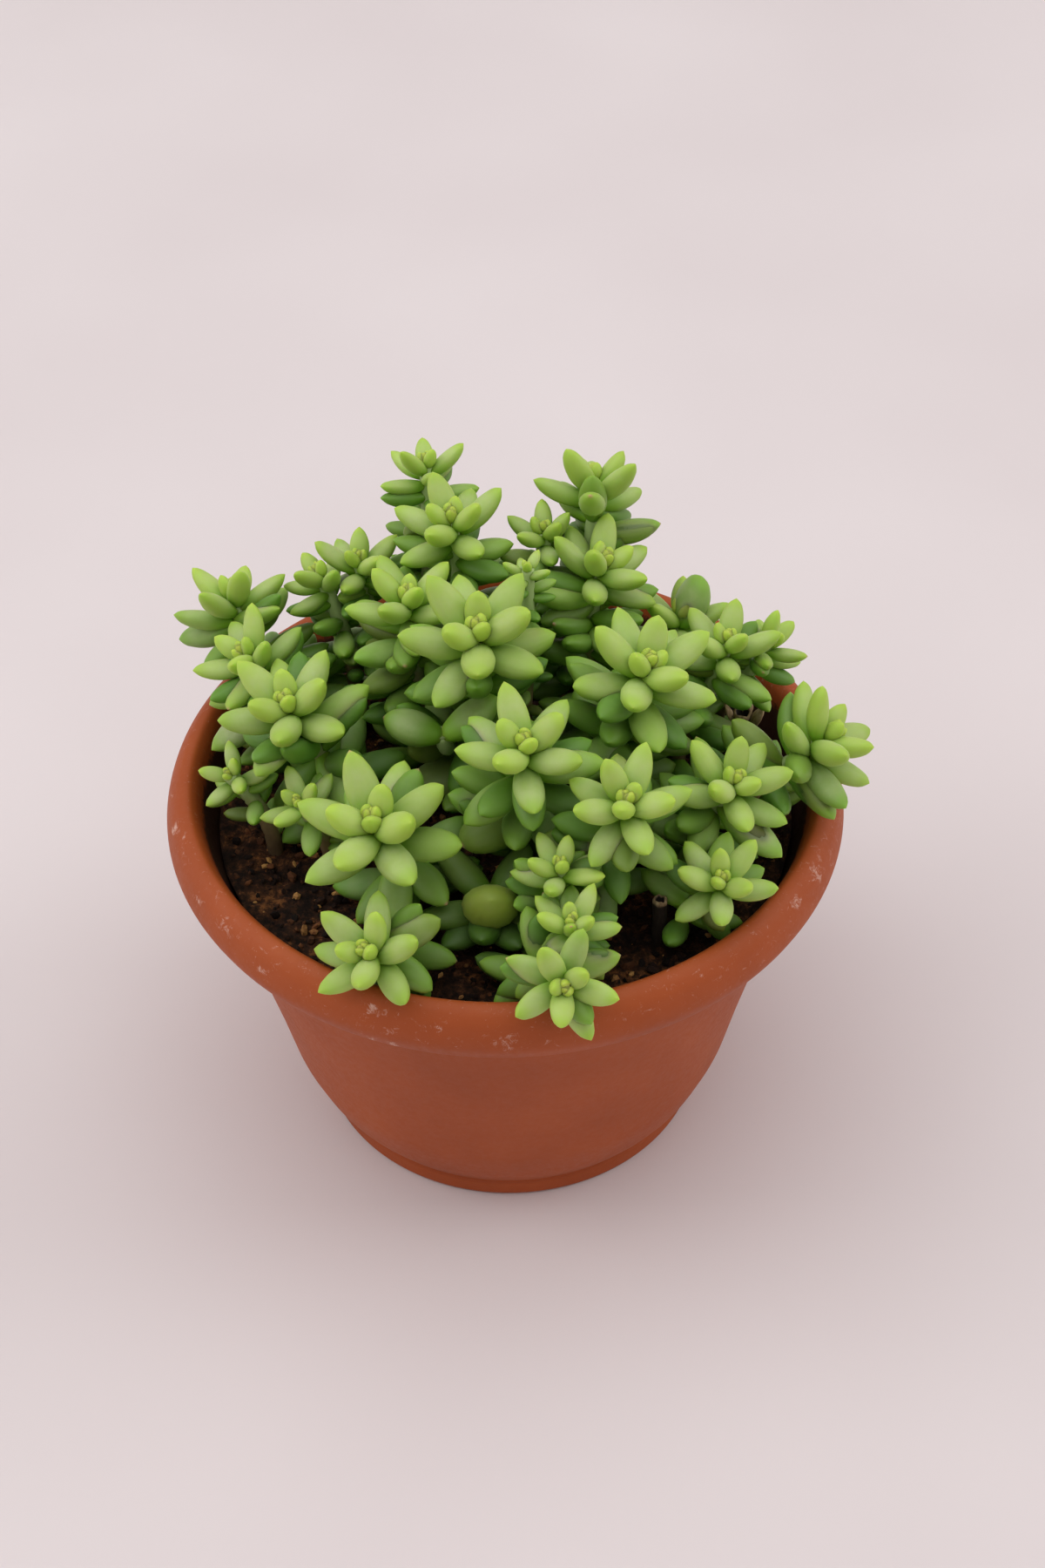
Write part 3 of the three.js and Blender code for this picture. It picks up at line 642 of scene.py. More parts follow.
# Painted studio floor, rolled matt: pale with a breath of pink, and nearly even
def painted_floor(settings):
    material, tree, place = new_material("studio_floor_painted_matt")
    cloud = add_node(tree, "TexNoise", {"Vector": place, "Scale": 1 / (160 * MM), "Detail": 2.0})
    colour = add_node(tree, "ValToRGB", {"Fac": cloud}, stops=[
        (0.35, settings.floor_hex), (0.7, settings.floor_light_hex),
    ])
    return finish_material(material, {"Base Color": colour, "Roughness": 0.8, "Specular IOR Level": 0.2})


def rounded(profile, corner, rings):
    """A profile with each of its inner corners cut back and rounded with a short curve."""
    points = [np.array(p, float) for p in profile]
    made = [points[0]]
    for before, here, after in zip(points, points[1:], points[2:]):
        back = before - here
        ahead = after - here
        cut = min(corner, CORNER_SHARE * np.linalg.norm(back), CORNER_SHARE * np.linalg.norm(ahead))
        start = here + back * cut / np.linalg.norm(back)
        end = here + ahead * cut / np.linalg.norm(ahead)
        for i in range(rings + 1):
            t = i / rings
            made.append((1 - t) ** 2 * start + 2 * t * (1 - t) * here + t * t * end)
    made.append(points[-1])
    return made


def lathe(profile, sides):
    """Vertices in millimetres and faces of a profile of (radius, height) turned once about the axis."""
    vertices = []
    rings = []
    for r, z in profile:
        if r == 0:
            rings.append([len(vertices)] * sides)
            vertices.append((0.0, 0.0, z))
            continue
        rings.append(list(range(len(vertices), len(vertices) + sides)))
        for i in range(sides):
            angle = 2 * math.pi * i / sides
            vertices.append((r * math.cos(angle), r * math.sin(angle), z))
    faces = []
    for low, high in zip(rings, rings[1:]):
        for i in range(sides):
            j = (i + 1) % sides
            corners = [low[i], low[j], high[j], high[i]]
            faces.append(tuple(dict.fromkeys(corners)))
    return vertices, [face for face in faces if len(face) > 2]


def new_object(name, vertices, faces, smooth=True):
    """An object in the scene, from vertices in millimetres."""
    mesh = bpy.data.meshes.new(name)
    mesh.from_pydata([tuple(c * MM for c in v) for v in vertices], [], faces)
    mesh.polygons.foreach_set("use_smooth", np.full(len(mesh.polygons), smooth))
    mesh.update()
    made = bpy.data.objects.new(name, mesh)
    bpy.context.scene.collection.objects.link(made)
    return made


def set_values(mesh, values):
    """Gives a mesh the named point values that its material reads."""
    for label, numbers in values.items():
        layer = mesh.attributes.new(label, "FLOAT", "POINT")
        layer.data.foreach_set("value", np.asarray(numbers, np.float32))


def new_piece(name, vertices, faces, materials, node_names, values=(), smooth=True):
    """An object in the root body, standing for its CAD nodes."""
    piece = new_object(name, vertices, faces, smooth)
    set_values(piece.data, dict(values))
    for material in materials:
        piece.data.materials.append(material)
    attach(piece, "root")
    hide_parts(*node_names)
    return piece


def unit(v):
    return v / np.linalg.norm(v)


def lean_direction(azimuth, tilt):
    a = math.radians(azimuth)
    t = math.radians(tilt)
    return np.array([math.sin(t) * math.cos(a), math.sin(t) * math.sin(a), math.cos(t)])


def across(d):
    """Two directions across d, the first one nearest +X."""
    first = unit(np.array([1.0, 0.0, 0.0]) - d * d[0])
    return first, np.cross(d, first)


def bezier(points, t):
    a, b, c, d = points
    s = 1 - t
    return s * s * s * a + 3 * s * s * t * b + 3 * s * t * t * c + t * t * t * d


def step_up(low, high, x):
    """From 0 at low to 1 at high, with smooth ends."""
    t = np.clip((x - low) / (high - low), 0.0, 1.0)
    return t * t * (3 - 2 * t)


def soil_height(x, y):
    """Height of the soil's top, with the solid's own slow and quick waves."""
    slow = math.sin(0.11 * x + 0.5) * math.cos(0.13 * y - 0.4)
    quick = math.sin(0.31 * x - 0.23 * y + 1.1)
    return SOIL_TOP + SOIL_SWELL * (0.6 * slow + 0.4 * quick)


def lump(x, y, seed):
    """Smooth unevenness between about -1 and 1 from a few crossed waves."""
    a = math.sin(1.7 * x + 0.9 * y + seed)
    b = math.sin(-1.1 * x + 1.9 * y + 2.3 * seed)
    c = math.sin(2.6 * x - 1.4 * y + 0.7 * seed + 1.5 * a)
    return (a * b + 0.7 * c) / 1.7


def rim_gap(r, z):
    """Distance in the r-z plane from the pot's rim and upper wall, negative inside them."""
    best = math.inf
    side = 1
    for (r0, z0), (r1, z1) in zip(RIM_WALL, RIM_WALL[1:]):
        dr = r1 - r0
        dz = z1 - z0
        share = ((r - r0) * dr + (z - z0) * dz) / (dr * dr + dz * dz)
        t = min(1.0, max(0.0, share))
        qr = r - r0 - dr * t
        qz = z - z0 - dz * t
        distance = math.hypot(qr, qz)
        if distance < best:
            best = distance
            side = 1 if dr * qz - dz * qr >= 0 else -1
    return best * side


def sorted_tries():
    """Ways to bend, turn and shorten a leaf, the smallest change first."""
    tries = []
    for bend in BENDS:
        for turn in TURNS:
            for shrink in SHRINKS:
                cost = abs(bend) + TURN_COST * abs(turn) + SHRINK_COST * (1 - shrink)
                order = cost + (DOWNWARD_COST if bend < 0 else 0) + (BACKWARD_COST if turn < 0 else 0)
                tries.append((order, bend, turn, shrink))
    return sorted(tries, key=lambda one: one[0])


def fill_tries():
    """Ways to bend and turn a leaf that fills a space, the smallest change first."""
    tries = [(abs(bend) + abs(turn), bend, turn, 1.0) for bend in FILL_BENDS for turn in FILL_TURNS]
    return sorted(tries, key=lambda one: one[0])


TRIES = sorted_tries()
TRIES_TO_FILL = fill_tries()


class Leaf:
    """One leaf as it is placed, with its painted shade, its share of bloom and painted highlight, and looks
    that are its own.
    """

    def __init__(self, base, along, up, length, width, age, shade=1.0, wax=1.0, looks=()):
        self.base = base
        self.along = along
        self.up = up
        self.length = length
        self.width = width
        self.age = age
        self.shade = shade
        self.wax = wax
        self.looks = dict(looks)


class Stem:
    """One leafy stem: straight up out of its hole, then in one curve to its tip."""

    def __init__(self, owner, row):
        self.name, root, tip, lean, self.leaf, self.rosette, phase, self.hand, self.old, self.aimed = row
        self.owner = owner
        self.phase = math.radians(phase)
        self.foot = np.array([root[0], root[1], STEM_FOOT], float)
        self.end = np.array(tip, float)
        self.direction = lean_direction(*lean)
        self.reach = np.linalg.norm(self.end - self.foot)
        self.knots = (
            self.foot,
            self.foot + np.array([0.0, 0.0, self.reach * START_REACH]),
            self.end - self.direction * self.reach * TIP_REACH,
            self.end,
        )
        self.leaves = []

    def at(self, t):
        return bezier(self.knots, t)

    def heading(self, t):
        """Where the stem points just past the place t."""
        return unit(self.at(t + TANGENT_STEP) - self.at(t))

    def bearing(self, k):
        return self.phase + self.hand * k * GOLDEN_ANGLE


class Growth:
    """The whole plant: its stems, the leaves placed on them, and the balls that fill the space taken."""

    def __init__(self):
        self.balls = np.zeros((MOST_BALLS, 5))
        self.count = 0
        self.stems = [Stem(owner, row) for owner, row in enumerate(STEM_ROWS)]
        for stem in self.stems:
            for i in range(STEM_BALLS + 1):
                self.take(stem.at(i / STEM_BALLS), STEM_RADIUS, stem.owner)
            for i in range(1, BURIED_BALLS + 1):
                low = (stem.foot[0], stem.foot[1], STEM_FOOT - BALL_STEP * i)
                self.take(low, STEM_RADIUS, stem.owner)
        for i, (_, (x, y), top, radius) in enumerate(DRY_STALKS):
            z = STEM_FOOT
            while z <= top:
                self.take((x, y, z), radius, len(STEM_ROWS) + i)
                z += BALL_STEP

    def take(self, centre, radius, owner):
        self.balls[self.count] = (*centre, radius, owner)
        self.count += 1

    def near(self, base, owner):
        """The balls of other pieces near a leaf's root."""
        balls = self.balls[:self.count]
        apart = np.abs(balls[:, :3] - base).max(axis=1)
        return balls[(apart < NEARBY) & (balls[:, 4] != owner)]

    def is_clear(self, centres, radii, others):
        for (x, y, z), q in zip(centres, radii):
            r = math.hypot(x, y)
            if r < INSIDE_POT and z - q < STEM_FOOT + SOIL_CLEARANCE:
                return False
            if r > NEAR_WALL and z - q < OVER_RIM and rim_gap(r, z) < q + WALL_CLEARANCE:
                return False
        if not len(others):
            return True
        gaps = centres[:, None, :] - others[None, :, :3]
        apart = radii[:, None] + others[None, :, 3] + CLEARANCE
        return bool(np.all((gaps ** 2).sum(axis=2) >= apart ** 2))

    def place_leaf(self, stem, base, direction, bearing, rise, length, width, age, tries=TRIES, **own):
        """Adds a leaf in the first way of bending, turning and shortening that is clear of all else."""
        first, second = across(direction)
        others = self.near(base, stem.owner)
        for _, bend, turn, shrink in tries:
            elevation = math.radians(rise + bend)
            azimuth = bearing + math.radians(turn)
            outward = first * math.cos(azimuth) + second * math.sin(azimuth)
            along = outward * math.cos(elevation) + direction * math.sin(elevation)
            up = direction * math.cos(elevation) - outward * math.sin(elevation)
            long = length * shrink
            wide = width * (1 + shrink) / 2
            t = SPOTS[:, None]
            centres = base + along * long * t + up * long * LEAF_CURVE * t * t
            radii = wide / 2 * np.interp(SPOTS, OUTLINE_SHARE, OUTLINE_WIDTH) * LEAF_BALL
            if self.is_clear(centres, radii, others):
                for centre, radius in zip(centres, radii):
                    self.take(centre, radius, stem.owner)
                leaf = Leaf(base, along, up, long, wide, age, **own)
                stem.leaves.append(leaf)
                return leaf
        return None


def grow_rosette(growth, stem):
    """The leaves round the tip, from upright buds to full leaves spread below."""
    for k in range(stem.rosette):
        t = k / (stem.rosette - 1)
        rise = UPRIGHT - SPREAD * t ** SPREAD_POWER
        grown = min(1.0, t / FULL_GROWN)
        young = 1 - grown * grown * (3 - 2 * grown)
        length = stem.leaf * (1 - (1 - YOUNG_SHARE) * young)
        base = stem.end - stem.direction * stem.leaf * (TIP_DEPTH + ROSETTE_DEPTH * t)
        width = length * (LEAF_WIDTH + (BUD_WIDTH - LEAF_WIDTH) * young)
        growth.place_leaf(
            stem, base, stem.direction, stem.bearing(k), rise, length, width, ROSETTE_AGE * t,
        )


def grow_aimed(growth, stem):
    """The leaves that point a way of their own."""
    for i, (share, azimuth, rise, length, width) in enumerate(stem.aimed):
        growth.place_leaf(
            stem, stem.at(share), UP, math.radians(azimuth), rise, length, width, AIMED_AGE,
            looks=AIMED_LOOKS.get((stem.name, i), {}),
        )


def grow_old(growth, stem):
    """The older leaves below the rosette, each one lower and drooping more."""
    for m in range(stem.old):
        below = OLD_SPACING * (m + 1) * (1 + OLD_SPACING_GROWTH * m)
        t = 1 - (stem.leaf * (TIP_DEPTH + ROSETTE_DEPTH) + below) / stem.reach
        if t < OLD_LOWEST:
            continue
        length = min(stem.leaf, OLD_LONGEST) * OLD_LENGTH
        growth.place_leaf(
            stem, stem.at(t), stem.heading(t), stem.bearing(stem.rosette + m), OLD_START - OLD_DROOP * m,
            length, length * OLD_WIDTH, min(1.0, OLD_AGE + OLD_AGEING * m), wax=OLD_BLOOM_AND_HIGHLIGHT,
        )


def grow_low(growth, stem):
    """The leaves low over the front soil, darkened with painted shade."""
    for share, azimuth, rise, length, width in LOW_LEAVES.get(stem.name, ()):
        growth.place_leaf(
            stem, stem.at(share), UP, math.radians(azimuth), rise, length, width, 1.0,
            shade=LOW_PAINTED_SHADE, wax=FILL_BLOOM_AND_HIGHLIGHT,
        )


def grow_heart(growth, stem):
    """The small round leaves packed in the heart of the rosette."""
    base = stem.end - stem.direction * stem.leaf * HEART_DEPTH
    for m in range(HEART_BUDS):
        length = stem.leaf * (HEART_LENGTH + HEART_GROWTH * m)
        rise = HEART_RISE - HEART_SPREAD * m
        growth.place_leaf(
            stem, base, stem.direction, stem.bearing(m + 0.5), rise, length, length * HEART_WIDTH, 0.0,
        )


def keeps_out(leaf):
    """Whether a leaf would cover soil or open air that stays clear."""
    tip = leaf.base + leaf.along * leaf.length
    middle = leaf.base + leaf.along * leaf.length / 2
    for *centre, r in OPEN_AIR:
        if np.linalg.norm(tip - centre) < r or np.linalg.norm(middle - centre) < r:
            return True
    if tip[2] > BARE_BELOW:
        return False
    return any(math.hypot(tip[0] - x, tip[1] - y) < r for x, y, r in BARE_SOIL)


def fill_stem(growth, stem, chance):
    """Old leaves set round the stem below its rosette, wherever one still fits."""
    start = stem.leaf * (TIP_DEPTH + ROSETTE_DEPTH)
    count = int((stem.reach * (1 - FILL_LOWEST) - start) / FILL_STEP)
    for m in range(max(0, count)):
        t = 1 - (start + FILL_STEP * (m + 0.5)) / stem.reach
        bearing = stem.bearing(stem.rosette + m + 0.5) + chance.uniform(*FILL_SWING)
        rise = chance.uniform(*FILL_RISES)
        for share in FILL_LENGTHS:
            length = min(stem.leaf, OLD_LONGEST) * share
            kept = growth.count
            leaf = growth.place_leaf(
                stem, stem.at(t), stem.heading(t), bearing, rise, length, length * FILL_WIDTH,
                chance.uniform(*FILL_AGES), TRIES_TO_FILL, shade=FILL_PAINTED_SHADE, wax=FILL_BLOOM_AND_HIGHLIGHT,
            )
            if leaf is None:
                continue
            if keeps_out(leaf):
                growth.count = kept
                stem.leaves.pop()
            break


def grow_plant(seed):
    """Every stem with its leaves: first those that the solids have too, then those that are here alone."""
    growth = Growth()
    chance = random.Random(seed)
    for grow in (grow_rosette, grow_aimed, grow_old, grow_low):
        for stem in growth.stems:
            grow(growth, stem)
    for stem in growth.stems:
        if stem.rosette:
            grow_heart(growth, stem)
        fill_stem(growth, stem, chance)
    return growth.stems


def smooth_outline(t, point):
    """Half-width along the leaf, through the skin's values, with the tip drawn out by point."""
    values = np.array(SKIN_WIDTH)
    shares = np.array(OUTLINE_SHARE)
    slopes = np.gradient(values, shares)
    slopes[-1] = TIP_SLOPE
    made = np.zeros_like(t)
    for i, s in enumerate(t):
        j = min(len(shares) - 2, int(np.searchsorted(shares, s, side="right")) - 1)
        gap = shares[j + 1] - shares[j]
        u = (s - shares[j]) / gap
        made[i] = (
            (2 * u ** 3 - 3 * u ** 2 + 1) * values[j]
            + (u ** 3 - 2 * u ** 2 + u) * gap * slopes[j]
            + (3 * u ** 2 - 2 * u ** 3) * values[j + 1]
            + (u ** 3 - u ** 2) * gap * slopes[j + 1]
        )
    return np.clip(made - point * np.interp(t, OUTLINE_SHARE, POINT_CUT), 0.0, 1.0)


def some(chance, age, few):
    """How strongly a leaf of this age shows what only a few leaves show."""
    least_age, share, strengths = few
    return chance.uniform(*strengths) if age > least_age and chance.random() < share else 0.0


class SkinBuilder:
    """Collects the vertices, faces and values of one stem and its leaves."""

    def __init__(self):
        self.vertices = []
        self.faces = []
        self.material_of = []
        self.values = {"along": [], "age": [], "tone": [], "olive": [], "bloom": [], "blush": []}

    def add_tube(self, centres, radii, frames, shares, bloom, values, material):
        """Rings round a line of centres, closed at both ends."""
        sides = len(radii[0])
        rings = len(centres)
        start = len(self.vertices)
        for centre, ring, (aside, up) in zip(centres, radii, frames):
            for wide, high in ring:
                self.vertices.append(centre + aside * wide + up * high)
        for low in range(start, start + (rings - 1) * sides, sides):
            high = low + sides
            for i in range(sides):
                j = (i + 1) % sides
                self.faces.append((low + i, low + j, high + j, high + i))
        first = len(self.vertices)
        top = first - sides
        self.vertices += [centres[0], centres[-1]]
        for i in range(sides):
            j = (i + 1) % sides
            self.faces += [(first, start + j, start + i), (first + 1, top + i, top + j)]
        self.material_of += [material] * (len(self.faces) - len(self.material_of))
        self.values["along"] += np.repeat(shares, sides).tolist() + [shares[0], shares[-1]]
        self.values["bloom"] += bloom.ravel().tolist() + [0.0, 0.0]
        for label, number in values.items():
            self.values[label] += [number] * (rings * sides + 2)

    def add_leaf(self, leaf, bloom, chance):
        """One leaf, its rings closer together where the tip rounds off."""
        t = 1 - (1 - np.linspace(0, 1, LEAF_RINGS)) ** RING_CROWDING
        half = leaf.width / 2 * smooth_outline(t, chance.uniform(*LEAF_POINT))
        half[-1] = TIP_RADIUS
        sway = chance.uniform(*LEAF_SWAY) * leaf.length
        aside = np.cross(leaf.along, leaf.up)
        angles = 2 * math.pi * np.arange(LEAF_SIDES) / LEAF_SIDES
        plump = chance.uniform(*LEAF_PLUMP)
        centres = []
        radii = []
        for s, h in zip(t, half):
            centre = leaf.base + leaf.along * leaf.length * s + leaf.up * leaf.length * LEAF_CURVE * s * s
            centres.append(centre + aside * sway * s * s)
            wide = h * np.cos(angles)
            high = h * np.sin(angles) * np.where(np.sin(angles) > 0, UPPER_FACE, UNDER_FACE) * plump
            radii.append(list(zip(wide, high)))
        frames = [(aside, leaf.up)] * len(t)
        lengthwise = step_up(*BLOOM_STARTS, t) * (1 - step_up(*BLOOM_ENDS, t))
        # Paler on the upper face: a painted highlight from the light above, on top of the real bloom
        upper_face_highlight = BLOOM_HIGHLIGHT_UNDER + (1 - BLOOM_HIGHLIGHT_UNDER) * step_up(*BLOOM_HIGHLIGHT_ROUND, np.sin(angles))
        grown = BLOOM_YOUNG + (1 - BLOOM_YOUNG) * min(1.0, leaf.age / BLOOM_FULL_AGE)
        share = leaf.looks.get("bloom", bloom * (grown * leaf.wax) * chance.uniform(*BLOOM_SPREAD))
        ageing = some(chance, leaf.age, AGEING)
        drying = some(chance, leaf.age, DRYING)
        values = {
            "age": min(1.0, max(0.0, leaf.age + chance.uniform(*AGE_SPREAD))),
            # The tone holds the leaf's random tone times its painted shade
            "tone": leaf.looks.get("tone", leaf.shade * chance.uniform(*LEAF_TONE)),
            "olive": leaf.looks.get("olive", ageing),
            "blush": leaf.looks.get("blush", drying),
        }
        wax = np.clip(share * lengthwise[:, None] * upper_face_highlight[None, :], 0.0, 1.0)
        self.add_tube(centres, radii, frames, t, wax, values, 0)

    def add_stem(self, stem, chance):
        steps = np.linspace(0, 1, STEM_STEPS)
        centres = [stem.foot - UP * STEM_SINK] + [stem.at(t) for t in steps]
        centres[-1] = stem.end - stem.direction * stem.leaf * TIP_DEPTH
        radii = []
        frames = []
        angles = 2 * math.pi * np.arange(STEM_SIDES) / STEM_SIDES
        aside = np.array([1.0, 0.0, 0.0])
        for i, centre in enumerate(centres):
            tangent = unit(centres[min(len(centres) - 1, i + 1)] - centres[max(0, i - 1)])
            aside = unit(aside - tangent * float(aside @ tangent))
            share = max(0.0, (i - 1) / (STEM_STEPS - 1))
            radius = STEM_RADIUS * (1 - STEM_TAPER * share)
            bumps = [radius * chance.uniform(*STEM_BUMPS) for _ in angles]
            radii.append([(b * math.cos(a), b * math.sin(a)) for b, a in zip(bumps, angles)])
            frames.append((aside, np.cross(tangent, aside)))
        shares = np.concatenate([[0.0], steps])
        values = {"age": 0.5, "tone": 1.0, "olive": 0.0, "blush": 0.0}
        self.add_tube(centres, radii, frames, shares, np.zeros((len(centres), STEM_SIDES)), values, 1)


def hex_colour(name, description, default):
    """A colour that a user may change."""
    return bpy.props.StringProperty(name=name, description=f"{description}, as sRGB hex", default=default)


class PotSettings(bpy.types.PropertyGroup):
    colour_hex: hex_colour("Colour", "Main colour of the pot", "#A44C1D")
    dark_colour_hex: hex_colour("Dark cloud", "Colour of the darker flow clouds", "#9C4719")
    light_colour_hex: hex_colour("Light cloud", "Colour of the lighter flow clouds", "#AB5221")
    lime: bpy.props.FloatProperty(
        name="Lime", description="How strongly dried lime shows on the rim", default=0.7, min=0, max=1,
        subtype="FACTOR",
    )


class SoilSettings(bpy.types.PropertyGroup):
    crumbs: bpy.props.IntProperty(
        name="Crumbs", description="Loose crumbs lying on the soil", default=2400, min=0, max=4000,
    )
    smallest: bpy.props.FloatProperty(
        name="Smallest crumb", description="Radius of the smallest crumb", default=0.35 * MM, unit="LENGTH",
    )
    largest: bpy.props.FloatProperty(
        name="Largest crumb", description="Radius of the largest crumb", default=1.6 * MM, unit="LENGTH",
    )
    relief: bpy.props.FloatProperty(
        name="Relief", description="Height of the soil's own lumps", default=1.2 * MM, unit="LENGTH",
    )


class PlantSettings(bpy.types.PropertyGroup):
    bud_hex: hex_colour("Bud", "Colour of the leaves at the growing tip", "#B0CC48")
    young_hex: hex_colour("Young leaf", "Colour of young leaves", "#A5C347")
    grown_hex: hex_colour("Grown leaf", "Colour of grown leaves", "#95B842")
    old_hex: hex_colour("Old leaf", "Colour of the oldest leaves", "#5E9526")
    root_hex: hex_colour("Leaf root", "Colour at the root of a leaf", "#75A820")
    tip_hex: hex_colour("Leaf tip", "Colour at the tip of a leaf", "#A4BF50")
    olive_hex: hex_colour("Ageing leaf", "Colour of a leaf past its best", "#72762A")
    # The bloom colour and strength give both the real wax bloom and the painted highlight on the upper faces
    bloom_and_highlight_hex: hex_colour("Bloom", "Colour of the wax bloom on the leaves", "#C0CC98")
    bloom: bpy.props.FloatProperty(
        name="Bloom strength", description="How strongly the wax bloom lies on the leaves", default=0.55,
        min=0, max=1, subtype="FACTOR",
    )
    seed: bpy.props.IntProperty(
        name="Seed", description="Chooses among plants of the same form", default=4, min=0,
    )


class StageSettings(bpy.types.PropertyGroup):
    floor_hex: hex_colour("Floor", "Colour of the floor", "#DDD5D5")
    floor_light_hex: hex_colour("Floor light", "Lighter cloud of the floor", "#E3DCDC")
    room_hex: hex_colour("Room", "Colour of the pale room round the table", "#F4EEEF")
    key_power: bpy.props.FloatProperty(
        name="Overhead light", description="Power of the large light overhead", default=12.4, unit="POWER",
    )
    side_power: bpy.props.FloatProperty(
        name="Side light", description="Power of each of the two side lights", default=4.6, unit="POWER",
    )
    surround: bpy.props.FloatProperty(
        name="Surround", description="Strength of the pale room round the table", default=0.56, min=0,
    )


class PLANT_OT_pot(bpy.types.Operator):
    """Builds the moulded pot"""

    bl_idname = "plant.build_pot"
    bl_label = "Pot"

    def execute(self, context):
        profile = [
            (0.0, 0.0),
            (BOSS_RADIUS, 0.0),
            (BOSS_RADIUS + RECESS_SLOPE, RECESS_DEPTH),
            (FOOT_INNER_RADIUS - RECESS_SLOPE, RECESS_DEPTH),
            (FOOT_INNER_RADIUS, 0.0),
            (BASE_RADIUS - BASE_ROUND, 0.0),
            (BASE_RADIUS, BASE_ROUND),
            (BASE_RADIUS, BASE_BAND),
        ]
        profile += WALL_OUTSIDE + SKIRT_INSIDE + RIM_PROFILE[::-1] + WALL_INSIDE + [(0.0, FLOOR_TOP)]
        vertices, faces = lathe(rounded(profile, CORNER_CUT, CORNER_RINGS), POT_SIDES)
        material = moulded_polypropylene(context.scene.pot_settings)
        pot = new_piece("pot_moulded", vertices, faces, [material], ["pot"])
        self.drill(pot)
        self.mark(pot)
        return {"FINISHED"}

    def mark(self, pot):
        """Marks where lime has dried on the rim, and the inner wall that gets painted shade."""
        places = np.empty(len(pot.data.vertices) * 3)
        pot.data.vertices.foreach_get("co", places)
        places = places.reshape(-1, 3) / MM
        radius = np.hypot(places[:, 0], places[:, 1])
        height = places[:, 2]
        lime = LIME_FILM * step_up(LIME_FROM, LIME_FULL, height)
        for x, y, z, size, strength in LIME_PLACES:
            apart = np.linalg.norm(places - (x, y, z), axis=1)
            smear = 1 - step_up(LIME_CORE * size, LIME_REACH * size, apart)
            lime = np.maximum(lime, strength * smear)
        rim_top = RIM_PROFILE[0][1]
        wall_radii, wall_heights = zip(*WALL_INSIDE[::-1], RIM_PROFILE[0])
        inner = np.interp(height, wall_heights, wall_radii) + INNER_SKIN
        # Painted shade: the inner wall from the floor up to just below the rim
        soiled = (radius < inner) & (height > FLOOR_TOP)
        soiled = soiled * (1 - step_up(PAINTED_SHADE_TOP, rim_top, height))
        set_values(pot.data, {"lime": lime, "soiled": soiled})

    def drill(self, pot):
        """Cuts the drain holes through the base."""
        bit = [
            (0.0, -FLOOR_TOP), (DRAIN_RADIUS, -FLOOR_TOP),
            (DRAIN_RADIUS, 2 * FLOOR_TOP), (0.0, 2 * FLOOR_TOP),
        ]
        vertices, faces = lathe(bit, DRAIN_SIDES)
        drills = []
        for i in range(DRAIN_COUNT):
            angle = 2 * math.pi * i / DRAIN_COUNT
            x = DRAIN_CIRCLE * math.cos(angle)
            y = DRAIN_CIRCLE * math.sin(angle)
            moved = [(vx + x, vy + y, vz) for vx, vy, vz in vertices]
            drills.append(new_object("drain_drill", moved, faces, smooth=False))
            cut = pot.modifiers.new("drain", "BOOLEAN")
            cut.operation = "DIFFERENCE"
            cut.solver = "EXACT"
            cut.object = drills[-1]
        bpy.context.view_layer.update()
        evaluated = pot.evaluated_get(bpy.context.evaluated_depsgraph_get())
        cut_mesh = bpy.data.meshes.new_from_object(evaluated)
        pot.modifiers.clear()
        pot.data = cut_mesh
        for drill in drills:
            bpy.data.objects.remove(drill)


